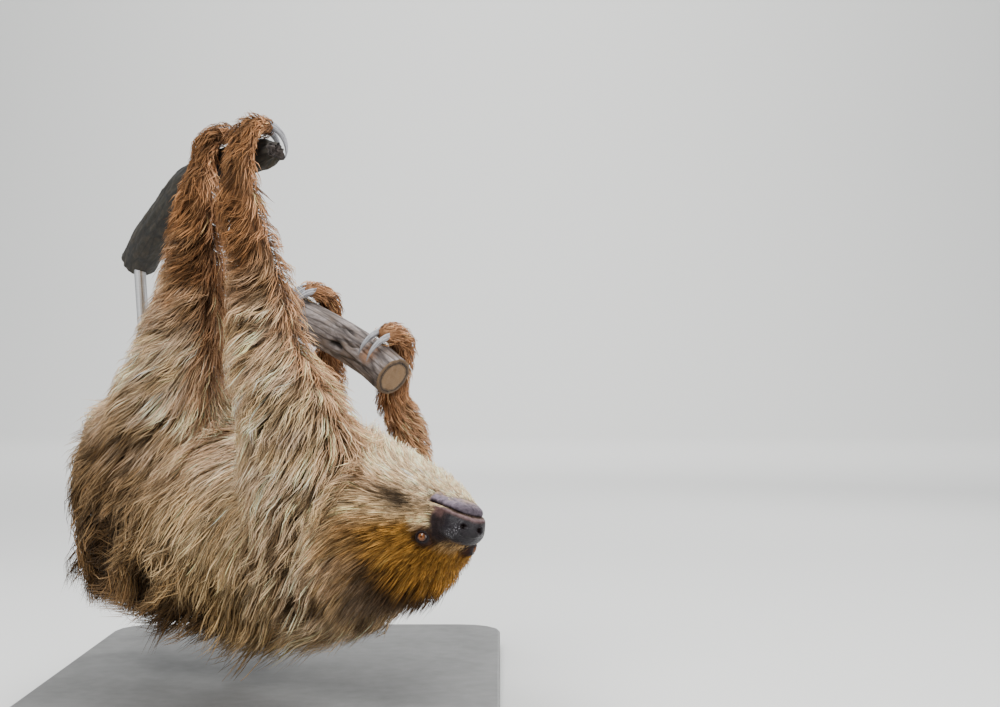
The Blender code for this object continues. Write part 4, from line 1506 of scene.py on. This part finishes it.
@dataclass(frozen=True)
class SkinFinish:
    """Leathery nose and lips, and hide with short hair under the coat."""

    nose: tuple = (0.0075, 0.0055, 0.007)
    lid: tuple = (0.024, 0.011, 0.008)
    rim: tuple = (0.006, 0.004, 0.005)
    muzzle: tuple = (0.062, 0.034, 0.03)
    deep: tuple = (0.01, 0.006, 0.006)
    lip: tuple = (0.15, 0.122, 0.148)
    edge: tuple = (0.11, 0.074, 0.076)
    # Painted shade in the mouth's groove and the nostril pits.
    gape: tuple = (0.01, 0.005, 0.005)
    # White specks: partly dust and partly painted highlight.
    dust: tuple = (0.6, 0.58, 0.62)
    hide: tuple = (0.2, 0.15, 0.1)

    def material(self) -> Material:
        """Makes the skin from 'tone', its colour, and 'bare': white specks that are partly dust and
        partly painted highlight, gloss and pit.
        """
        made = Nodes("skin", self.hide, 0.6)
        dust_and_highlight_share, gloss, _ = made.parts(made.attribute("bare"))
        place = made.place()
        speck = made.noise(place, 1100.0, 5.0, 0.7)
        cloud = made.noise(place, 260.0, 4.0, 0.6)
        shade = made.band(cloud, (0.3, 0.55), (0.7, (1.35, 1.3, 1.3)))
        body = made.blend(1.0, made.attribute("tone", "Color"), shade, "MULTIPLY")
        # White specks near the nostrils: partly dust and partly painted highlight.
        dust = made.times(made.band(speck, (0.54, 0.0), (0.66, 1.0)), made.times(dust_and_highlight_share, 0.45))
        made.feed("Base Color", made.blend(dust, body, self.dust))
        made.rough(made.times(gloss, made.times(cloud, 1.5)), 0.74, 0.24)
        made.feed("Specular IOR Level", made.maths("ADD", 0.05, made.times(gloss, 0.13)))
        made.bump(made.cells(place, 1250.0), 0.45, 0.0005)
        made.bump(speck, 0.3, 0.0003)
        made.bump(made.noise(made.stretched(place, (1, 1, 0.5)), 420.0, 4.0), 0.45, 0.0006)
        return made.material


@dataclass
class Skin:
    """One closed skin for the head, trunk and limbs."""

    animal: Animal
    face: Face
    voxel: float = 0.0032
    body_start: float = 0.05
    body_grid: tuple = (150, 90)
    limb_grid: tuple = (110, 44)
    head_room: float = 0.06
    ear_middle: tuple = (0.044, -0.095, 0.012)
    ear_size: tuple = (0.009, 0.0035, 0.009)

    def tube(self, form: Form, start: float, past: float, rows: int, columns: int) -> tuple:
        """A closed length of a form, to a distance past its end, as places and faces."""
        end = form.total + past
        along, turn = rounds(np.linspace(start, end, rows), columns, -math.pi)
        points = form.surface(along.ravel(), turn.ravel())
        return closed_points(points, rows), closed_faces(rows, columns)

    def joined(self, parts: list, name: str) -> Piece:
        """Several closed shapes, each places and faces, in one object."""
        starts = np.cumsum([0, *(len(points) for points, _ in parts)])
        faces = [np.concatenate([kinds[k] + start for (_, kinds), start in zip(parts, starts)])
                 for k in (0, 1)]
        return mesh_object(name, np.concatenate([points for points, _ in parts]), faces, True)

    def ear(self, sign: float, rows: int = 22, columns: int = 28) -> tuple:
        """A small cupped ear: a flat ball, thinned and hollowed towards its front."""
        lean, turn = rounds(np.linspace(0.02, math.pi - 0.02, rows), columns)
        x, y, z = circle(turn, np.sin(lean), np.cos(lean)).reshape(-1, 3).T
        cup = 0.45 * (1.0 - x * x - z * z).clip(0.0) * (y > 0)
        parts = zip((x, y - 1.6 * cup * np.abs(y), z), self.ear_middle, self.ear_size)
        right, back, crown = (middle + size * part for part, middle, size in parts)
        points = HEAD.point(sign * right, back, crown)
        return closed_points(points, rows), closed_faces(rows, columns)

    def apply(self, obj: Piece) -> Array:
        """Turns an object's modified shape into its mesh, and gives its places."""
        graph = bpy.context.evaluated_depsgraph_get()
        mesh = bpy.data.meshes.new_from_object(obj.evaluated_get(graph))
        obj.modifiers.clear()
        obj.data = mesh
        points = np.empty(3 * len(mesh.vertices), np.float32)
        mesh.vertices.foreach_get("co", points)
        return points.reshape(-1, 3).astype(float)

    def trunk(self) -> Piece:
        """Joins the body and limbs by a voxel remesh, and settles them on the melted skin."""
        body, *limbs = self.animal.forms
        parts = [self.tube(body, self.body_start, 0.0199, *self.body_grid)]
        parts += [self.tube(limb, -0.0199, 0.00399, *self.limb_grid) for limb in limbs]
        made = self.joined(parts, "skin")
        remesh = made.modifiers.new("one", "REMESH")
        remesh.mode = "VOXEL"
        remesh.voxel_size = self.voxel
        points = self.apply(made)
        along = body.locate(points).along
        points = mix(points, self.animal.settle(points), ramp(0.06, 0.072, along))
        away = points - body.look(along)[0]
        near = np.linalg.norm(away, axis=1) < self.head_room
        sink = SINK * ramp(0.0605, self.body_start, along) * near
        points = points - unit(away) * sink[:, None]
        made.data.vertices.foreach_set("co", points.astype(np.float32).ravel())
        return made

    def build(self) -> None:
        """Unites the trunk with the fine face and the ears, and paints the skin."""
        made = self.trunk()
        others = [self.joined([self.face.build()], "face"),
                  self.joined([self.ear(sign) for sign in BOTH_SIDES], "ears")]
        for other in others:
            union = made.modifiers.new("with_" + other.name, "BOOLEAN")
            union.operation = "UNION"
            union.solver = "EXACT"
            union.object = other
        points = self.apply(made)
        for other in others:
            bpy.data.objects.remove(other)
        self.colour(made, points)
        made.data.shade_smooth()
        nodes = ["head", "nose", "neck", "chest", "abdomen", "rump", "ear_left", "ear_right"]
        limbs = [name for plan in LIMBS for name in plan.solids]
        dress(made, "coat_trunk", SkinFinish().material(), *nodes, *limbs)

    def colour(self, made: Piece, points: Array) -> None:
        """Paints 'tone' and 'bare': the coat's markings, deepened, under the bare parts, with painted
        shade in the mouth's groove and the nostril pits.
        """
        values, finish = self.face.marks(points), SkinFinish()
        dark = np.add(finish.muzzle, values["deep"][:, None] * np.subtract(finish.deep, finish.muzzle))
        tone = mix(self.animal.tone(points) * 0.3, dark, values["muzzle"])
        for name in ("lip", "lid", "nose", "edge", "rim"):
            tone = mix(tone, getattr(finish, name), values[name])
        tone = mix(tone, tone * 0.35, values["lip"] * values["chin"])
        # Painted shade: the mouth's groove and the nostril pits are filled with near-black.
        tone = mix(tone, finish.gape, np.maximum(values["groove"] * 1.3, values["pit"]))
        parts = (("nose", 1.0), ("rim", 0.6), ("lip", 0.3), ("muzzle", 0.25))
        gloss = np.clip(sum(share * values[name] for name, share in parts), 0, 1)
        paint(made, "tone", tone)
        paint(made, "bare", np.stack([values["dust"], gloss, values["pit"]], -1))


# --------------------------------------------------------------------------- coat


@dataclass(frozen=True)
class HairFinish:
    """Dry hair with a soft sheen, coloured along each strand."""

    name: str
    colour: tuple = (0.3, 0.2, 0.1)
    roughness: float = 0.62

    def material(self) -> Material:
        """Makes the hair from 'tone', with a fine streak of light and dark."""
        made = Nodes(self.name, self.colour, self.roughness, Specular_IOR_Level=0.12)
        streak = made.noise(made.place(), 420.0, 3.0, 0.6)
        shade = made.band(streak, (0.3, 0.82), (0.7, (1.14, 1.13, 1.12)))
        tone = made.attribute("tone", "Color")
        made.feed("Base Color", made.blend(1.0, tone, shade, "MULTIPLY"))
        made.rough(streak, self.roughness - 0.08, self.roughness + 0.12)
        return made.material


@dataclass(frozen=True)
class Lock:
    """How the coat grows on one part.

    span is the part's length of its form, and sweep how far a strand runs along
    the body. reach is the share of the coat's depth that its end stands at, and
    inner how much more that is on a limb's inner edge. width is a strand's and
    spacing is between the thick locks. clump is how firmly strands gather, wave
    how far they bend and hang how far the underside's ends fall.
    """

    name: str
    slot: str
    form: int
    span: tuple
    count: int
    sweep: tuple
    width: float
    clump: float
    spacing: float
    segments: int
    reach: tuple
    wave: float
    hang: float = 0.0
    inner: float = 0.0


class Coat:
    """Grows the strands of one part of the coat as a single solid mesh."""

    SIDES = 3
    PATCH = 0.003
    FACE_END = 0.06
    SETTLED = 0.066
    SAMPLE = 400
    BLOCK = 4000
    FINE = 0.38
    LOOSE = 0.07

    def __init__(self, animal: Animal, face: Face, lock: Lock, seed: int) -> None:
        """Starts a part with its own seeded dice."""
        self.animal, self.face, self.lock, self.seed = animal, face, lock, seed
        self.form = animal.forms[lock.form]
        self.dice = np.random.default_rng(seed)
        self.steps = np.linspace(0.0, 1.0, lock.segments + 1)

    def spread(self, kind: str, low: float, high: float) -> Array:
        """A random number for each guide of a kind, as its strands have it."""
        guides, mine = self.guides[kind]
        return self.dice.uniform(low, high, len(guides))[mine]

    def sow(self) -> tuple:
        """Chooses root places on the skin, evenly by area.

        Returns:
            Roots, their distance along and angle round the form, and how bare they are.
        """
        lock, form = self.lock, self.form
        grid = np.meshgrid(np.linspace(*lock.span, 24), np.linspace(-math.pi, math.pi, 24))
        biggest = form.skin(*(part.ravel() for part in grid)).max()
        found, total = [], 0
        while total < lock.count:
            n = 4 * lock.count
            along = self.dice.uniform(*lock.span, n)
            turn = self.dice.uniform(-math.pi, math.pi, n)
            over = np.abs(form.beyond(along)[0]) / max(form.domes)
            area = form.skin(along, turn) * (1.0 - 0.5 * over) / biggest
            keep = self.dice.uniform(size=n) < area
            along, turn = along[keep], turn[keep]
            points = form.surface(along, turn)
            bare = np.zeros(len(points))
            if lock.form == 0 and lock.span[0] < self.FACE_END:
                near = along < self.FACE_END
                points[near] = self.face.shape(along[near], turn[near])
                bare = np.where(near, self.face.bare(self.face.marks(points)), 0.0)
                keep = self.dice.uniform(size=len(along)) > 1.25 * bare - 0.12
                along, turn, points, bare = along[keep], turn[keep], points[keep], bare[keep]
            free = np.ones(len(points), bool)
            for other in self.animal.forms:
                if other is not form:
                    free &= other.locate(points).height >= STEP
            found.append([value[free] for value in (points, along, turn, bare)])
            total += int(free.sum())
        points, along, turn, bare = (np.concatenate(part)[:lock.count] for part in zip(*found))
        far = (along > self.SETTLED) | (lock.form > 0)
        return np.where(far[:, None], self.animal.settle(points), points), along, turn, bare

    def comb(self, roots: Array, sweep: Array, reach: Array, lift: Array) -> Array:
        """Runs strands over the body.

        Each step goes along the lie of the hair, laid on the surface, and up or
        down the normal to the strand's height at that share t of its length,
        coat * reach * (1 - (1 - t) to the power lift), and what the root itself
        stands over the smooth skin, which fades.

        Args:
            roots: First places.
            sweep: How far each strand runs along.
            reach: Share of the coat's depth that its end stands at.
            lift: Power of the rise.

        Returns:
            Places, with strand and step as the first two axes.
        """
        path, points = [roots], roots
        felt = self.animal.feel(points)
        coat, first, way = felt.coat, felt.height, None
        for t in self.steps[1:]:
            flat = squared(felt.lie, felt.normal)
            way = flat if way is None else unit(0.45 * way + 0.55 * flat)
            height = first * (1.0 - t) + coat * reach * (1.0 - (1.0 - t) ** lift)
            points = points + way * (sweep / self.lock.segments)[:, None]
            points = points + felt.normal * (height - felt.height)[:, None]
            path.append(points)
            if t < 1.0:
                felt = self.animal.feel(points)
                coat = 0.5 * coat + 0.5 * felt.coat
        return np.stack(path, axis=1)

    def nearest(self, roots: Array, heads: Array) -> Array:
        """Number of the nearest guide for each root, in blocks."""
        squares = (heads**2).sum(1)
        return np.concatenate([np.argmin(squares - 2.0 * block @ heads.T, axis=1)
                               for block in np.split(roots, range(self.BLOCK, len(roots), self.BLOCK))])

    def part(self, roots: Array) -> None:
        """Picks the guides: fine locks over the strands, and thick locks over the fine.

        Each strand and each fine lock goes with its nearest guide. The roots' area
        comes from the mean gap to the nearest of a sample.
        """
        n, spacing = len(roots), self.lock.spacing
        pick = self.dice.choice(n, min(self.SAMPLE, n), replace=False)
        gaps = ((roots[pick, None] - roots[None]) ** 2).sum(-1)
        gaps[np.arange(len(pick)), pick] = 1.0
        area = n * np.sqrt(gaps.min(axis=1)).mean() ** 2 / 0.25
        thick, fine = (
            self.dice.choice(n, min(max(least, int(area / gap**2)), n // 3), replace=False)
            for least, gap in ((8, spacing), (24, self.FINE * spacing)))
        fine_of = self.nearest(roots, roots[fine])
        self.thick_of_fine = self.nearest(roots[fine], roots[thick])
        self.guides = {"thick": (thick, self.thick_of_fine[fine_of]), "fine": (fine, fine_of)}

    def gather(self, path: Array) -> Array:
        """Draws strands into fine locks, and fine locks into thick ones.

        A strand moves towards its guide by a share that grows from the root as
        t to the power 1, and a fine lock by t to the power 1.3, so that roots
        stay spread and ends meet in points. A few strands stay free.
        """
        clump, t = self.lock.clump, self.steps[None, :, None]
        (thick, _), (fine, fine_of) = self.guides["thick"], self.guides["fine"]
        strong = (clump * self.dice.uniform(0.6, 1.15, len(thick))).clip(0, 0.95)
        share = (0.85 * strong[self.thick_of_fine])[:, None, None] * t**1.3
        led = path[fine] * (1 - share) + path[thick][self.thick_of_fine] * share
        firm = (clump * self.dice.uniform(0.5, 1.2, len(path))).clip(0, 0.93)
        firm = np.where(self.dice.uniform(size=len(path)) < self.LOOSE, 0.1, firm)
        share = firm[:, None, None] * t
        return path * (1 - share) + led[fine_of] * share

    def wave(self, path: Array, free: Array) -> Array:
        """Bends the locks to and fro, and each strand a little on its own.

        A lock's sideways shift is its size times t times the sine of its own
        number of turns along it, less what that is at the root. free is the
        share of it that each strand has. Last, a smooth field moves all.
        """
        size, t = self.lock.wave, self.steps
        up = self.animal.feel(path[:, 0]).normal
        across = unit(np.cross(unit(path[:, -1] - path[:, 0]), up))
        for kind, part in (("thick", 1.0), ("fine", 0.45)):
            guides, mine = self.guides[kind]
            n = len(guides)
            turns = self.dice.uniform(0.6, 1.3, (n, 1))
            start = self.dice.uniform(0.0, 1.0, (n, 1))
            big = size * part * self.dice.uniform(0.3, 1.5, (n, 1))
            sway = big * t * (np.sin(ROUND * (turns * t + start)) - np.sin(ROUND * start))
            lift = 0.5 * big * t * np.sin(ROUND * (turns * t + start + 0.25))
            moved = sway[..., None] * across[guides][:, None] + lift[..., None] * up[guides][:, None]
            path = path + moved[mine] * free[:, None, None]
        bend = self.dice.normal(size=(len(path), 1, 3)) * size * 0.4
        path = path + bend * (t**2)[None, :, None]
        drift = np.stack([lattice(path.reshape(-1, 3), 0.028, self.seed + 31 * k) for k in range(3)], -1)
        return path + drift.reshape(path.shape) * (size * 0.7 * t)[None, :, None]

    def build(self) -> None:
        """Grows, gathers, waves, thickens and paints the strands."""
        lock = self.lock
        roots, along, turn, bare = self.sow()
        n = len(roots)
        self.part(roots)
        gaps = self.form.gaps(along, turn)
        sunk = 0.75 * self.spread("thick", 0.0, 1.0)
        sunk = np.clip(sunk + 0.25 * self.spread("fine", 0.0, 1.0), 0, 1)
        far = self.spread("thick", 0.8, 1.18)
        sweep = self.dice.uniform(*lock.sweep, n) * far * (1.0 - 0.65 * bare)
        reach = self.dice.uniform(*lock.reach, n) ** 0.8 * (1.08 - sunk * (0.25 + 0.45 * gaps))
        if lock.form > 0:
            felt = self.animal.feel(roots)
            sweep = sweep * np.interp(felt.coat, (0.002, 0.009, 0.018), (0.34, 0.58, 1.05))
            facing = felt.normal @ unit(self.form.outer)
            reach = reach * (1.0 + lock.inner * ramp(0.1, 0.9, -facing))
        lift = self.dice.uniform(1.4, 2.6, n)
        path = self.wave(self.gather(self.comb(roots, sweep, reach, lift)), 0.35 + 0.65 * gaps)
        low = ramp(0.1, 0.9, np.sin(turn)) * self.spread("thick", 0.3, 1.0)
        fall = (DOWN + (-0.5, 0.0, 0.0)) * (lock.hang * low)[:, None]
        path = path + fall[:, None] * (self.steps**2)[None, :, None]
        # Painted shade: strands sunk deep in the gaps between locks get darker, more where the gaps are
        # open.
        dark = ramp(0.0, 1.0, (sunk - 0.7 + 0.52 * gaps) / 0.36) * (0.35 + 0.65 * gaps)
        made = self.thicken(path)
        self.paint(made, path, dark)
        self.map(made, along, turn)
        dress(made, lock.slot, HairFinish("hair_" + lock.name).material())

    def thicken(self, path: Array) -> Piece:
        """Makes each strand a closed three-sided spike.

        The half width is half the lock's width, times 0.60 at the root, 1 at 0.35,
        0.66 at 0.75 and nothing at the tip. The tip is one point and the root is
        closed.
        """
        n, rings, sides = len(path), self.lock.segments, self.SIDES
        ahead = unit(np.gradient(path, axis=1))
        side = unit(np.cross(ahead, unit(self.dice.normal(size=(n, 1, 3)))))
        up = np.cross(ahead, side)
        wide = np.interp(self.steps, (0.0, 0.35, 0.75, 1.0), (0.6, 1.0, 0.66, 0.0))
        wide = wide[:-1, None, None] * self.lock.width * 0.5
        thick = self.dice.uniform(0.65, 1.35, (n, 1, 1))
        turns = (ROUND * np.arange(sides) / sides)[:, None]
        ring = side[:, :-1, None] * np.cos(turns) + up[:, :-1, None] * np.sin(turns)
        body = path[:, :-1, None] + ring * (wide * thick[..., None])
        points = np.concatenate([body.reshape(n, -1, 3), path[:, -1:]], axis=1)
        quads, tips = tipped_faces(rings, sides)
        faces = [quads, np.concatenate([tips, [(2, 1, 0)]])]
        first = (np.arange(n) * points.shape[1])[:, None, None]
        faces = [(first + part).reshape(-1, part.shape[1]) for part in faces]
        return mesh_object(self.lock.name, points.reshape(-1, 3), faces)

    def paint(self, made: Piece, path: Array, dark: Array) -> None:
        """Colours each strand.

        The outer colour at its middle, darkened by painted shade where the strand is sunk in a gap
        between locks, deepened to the root, partly as darker hair and partly as painted shade within the
        coat, a little lighter to the tip, times a random share for the strand and for its locks.
        """
        n = len(path)
        tone = self.animal.tone(path[:, (self.lock.segments + 1) // 2])
        light = self.dice.normal(1.0, 0.24, n).clip(0.45, 1.7)
        for kind, size in (("fine", 0.2), ("thick", 0.18)):
            guides, mine = self.guides[kind]
            light = light * self.dice.normal(1.0, size, len(guides))[mine].clip(0.4, 1.6)
        tone = tone * light[:, None]
        warm = self.dice.normal(0.0, 0.05, n)[:, None] * (1.0, 0.1, -1.0)
        # Painted shade in the gaps between locks: sunk strands are darkened towards a deep brown.
        tone = mix(tone, tone * (0.13, 0.1, 0.06), 0.94 * dark)
        tone = np.clip(tone * (1.0 + warm), 0.004, 0.92)
        # Darker towards the root: partly darker hair and partly painted shade within the coat; the
        # lighter tip is paler hair.
        shade = np.interp(self.steps, (0.0, 0.35, 0.8, 1.0), (0.16, 0.56, 1.0, 1.18))
        colours = tone[:, None] * shade[None, :, None]
        rows = np.repeat(colours[:, :-1], self.SIDES, axis=1)
        paint(made, "tone", np.concatenate([rows, colours[:, -1:]], axis=1))

    def map(self, made: Piece, along: Array, turn: Array) -> None:
        """Adds a map for the coat's colours.

        The part's skin is unrolled: distance along the form one way and angle
        round it the other. A strand's sides lie beside each other in a patch at
        its root's place.
        """
        (low, high), sides, rings = self.lock.span, self.SIDES, self.lock.segments
        u = np.clip((along - low) / (high - low), 0, 1)
        root = 0.01 + 0.98 * np.stack([u, (turn + math.pi) / ROUND], -1)[:, None, None]
        level, side = np.divmod(np.arange(rings * sides)[:, None], sides)
        x, y = np.broadcast_arrays((side + (0, 1, 1, 0)) / sides, (level + (0, 0, 1, 1)) / rings)
        boxes = np.stack([x, y], -1)
        tips = boxes[-sides:, :3].copy()
        tips[:, 2] = (boxes[-sides:, 2] + boxes[-sides:, 3]) / 2
        foot = [[(0.3, 0.0), (0.15, 0.0), (0.2, 0.06)]]
        parts = (boxes[:-sides], np.concatenate([tips, foot]))
        places = [(root + (part - 0.5) * self.PATCH).reshape(-1, 2) for part in parts]
        layer = made.data.uv_layers.new(name="OFBake")
        layer.data.foreach_set("uv", np.concatenate(places).astype(np.float32).ravel())


COATS = (
    Lock("coat_face", "coat_head", 0, (0.014, 0.066), 11600, (0.008, 0.014), 0.00034, 0.45, 0.0036,
         3, (0.4, 1.1), 0.001),
    Lock("coat_head", "coat_head", 0, (0.056, 0.128), 10200, (0.018, 0.032), 0.00062, 0.55, 0.006,
         3, (0.45, 1.15), 0.002, 0.014),
    Lock("coat_neck", "coat_neck", 0, (0.118, 0.205), 7500, (0.038, 0.064), 0.0008, 0.62, 0.009,
         4, (0.5, 1.15), 0.0044, 0.018),
    Lock("coat_chest", "coat_trunk", 0, (0.195, 0.3), 6300, (0.055, 0.09), 0.00104, 0.8, 0.011,
         5, (0.5, 1.14), 0.008, 0.03),
    Lock("coat_abdomen", "coat_trunk", 0, (0.29, 0.41), 6300, (0.055, 0.095), 0.00108, 0.84, 0.0115,
         5, (0.5, 1.18), 0.01, 0.036),
    Lock("coat_rump", "coat_trunk", 0, (0.4, 0.519), 6300, (0.05, 0.095), 0.00108, 0.86, 0.0115,
         5, (0.5, 1.22), 0.0115, 0.03),
    Lock("coat_arm_left", "coat_upper_limb", 1, (0.0, 0.452), 10600, (0.026, 0.054), 0.00075, 0.64,
         0.008, 3, (0.8, 1.55), 0.0046, inner=0.24),
    Lock("coat_leg_left", "coat_lower_limb", 2, (0.0, 0.454), 10600, (0.028, 0.058), 0.00078, 0.66,
         0.008, 3, (0.8, 1.55), 0.0048, inner=0.7),
    Lock("coat_arm_right", "coat_upper_limb", 3, (0.0, 0.355), 4700, (0.026, 0.052), 0.0007, 0.52,
         0.006, 3, (0.7, 1.4), 0.003),
    Lock("coat_leg_right", "coat_lower_limb", 4, (0.0, 0.316), 4700, (0.026, 0.052), 0.0007, 0.52,
         0.006, 3, (0.7, 1.4), 0.003),
)


# -------------------------------------------------------------------------- stand


@dataclass(frozen=True)
class PaintFinish:
    """Matt grey paint on the stand's base, faintly mottled."""

    colour: tuple = (0.105, 0.105, 0.102)
    roughness: float = 0.55

    def material(self) -> Material:
        """Makes the paint with an eggshell bump and small scuffs."""
        made = Nodes("base_paint", self.colour, self.roughness)
        place = made.place()
        dark, light = (tuple(share * part for part in self.colour) for share in (0.86, 1.16))
        made.feed("Base Color", made.band(made.noise(place, 14.0, 4.0), (0.35, dark), (0.65, light)))
        made.rough(made.noise(place, 60.0, 4.0), 0.42, 0.66)
        made.bump(made.noise(place, 900.0, 2.0), 0.22, 0.0003)
        return made.material


@dataclass(frozen=True)
class SteelFinish:
    """Satin steel of the rods, with fine turning marks."""

    colour: tuple = (0.52, 0.52, 0.53)
    roughness: float = 0.3

    def material(self) -> Material:
        """Makes the steel with streaks that run round the rod."""
        made = Nodes("rod_steel", self.colour, self.roughness, Metallic=1.0)
        streak = made.noise(made.stretched(made.place(), (1, 1, 26)), 55.0, 4.0)
        dark = tuple(0.85 * part for part in self.colour)
        made.feed("Base Color", made.band(streak, (0.35, dark), (0.65, self.colour)))
        made.rough(streak, 0.24, 0.42)
        made.bump(streak, 0.12, 0.0002)
        return made.material


class Stand:
    """The flat base and its two rods, whose solids keep their own shape."""

    FINISHES = {"stand_base": PaintFinish(), "stand_rod_upper": SteelFinish(),
                "stand_rod_lower": SteelFinish()}

    def build(self) -> None:
        """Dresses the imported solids."""
        for name, finish in self.FINISHES.items():
            material = finish.material()
            for obj in bpy.data.objects:
                if obj.type == "MESH" and obj.name.split(".")[0] == name:
                    obj.data.materials.clear()
                    obj.data.materials.append(material)


# --------------------------------------------------------------------------- main

PERCHES = (
    Perch("perch_upper", UPPER_BRANCH,
          BarkFinish("bark_dark", (0.006, 0.0045, 0.002), (0.015, 0.011, 0.0055), (0.038, 0.029, 0.018),
                     (0.016, 0.015, 0.008)),
          SawnFinish("wood_dark", (0.11, 0.084, 0.072), (0.02, 0.012, 0.008), (0.012, 0.008, 0.006)),
          3, broken=0.62, relief=0.0009),
    Perch("perch_lower", LOWER_BRANCH,
          BarkFinish("bark_grey", (0.08, 0.063, 0.054), (0.16, 0.131, 0.118), (0.29, 0.25, 0.233),
                     (0.15, 0.104, 0.072), stain_place=(-0.016, 0.0102, 0.027)),
          SawnFinish("wood_pale", (0.42, 0.27, 0.14), (0.19, 0.108, 0.052), (0.03, 0.02, 0.015)),
          5, ((0.068, 3.22, 0.0085, 0.0027, 0.0075), (0.072, 2.18, 0.023, 0.0012, 0.004),
              (0.05, 2.75, 0.013, 0.0011, 0.0028), (0.036, 3.45, 0.012, 0.0012, 0.0026),
              (0.09, 3.75, 0.02, 0.0012, 0.0028))),
)


def main() -> None:
    """Builds the scene."""
    logging.basicConfig(level=logging.INFO, format="%(message)s")
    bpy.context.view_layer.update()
    Studio().build()
    animal = Animal()
    face = Face(animal.body)
    Skin(animal, face).build()
    eye, horn = EyeFinish().material(), HornFinish().material()
    for name, sign in (("eye_left", -1.0), ("eye_right", 1.0)):
        Eye(name, sign).build(eye)
    for plan in LIMBS:
        Claws(plan).build(horn)
    for perch in PERCHES:
        perch.build()
    Stand().build()
    for seed, lock in enumerate(COATS, 100):
        Coat(animal, face, lock, seed).build()


if __name__ == "__main__":
    main()
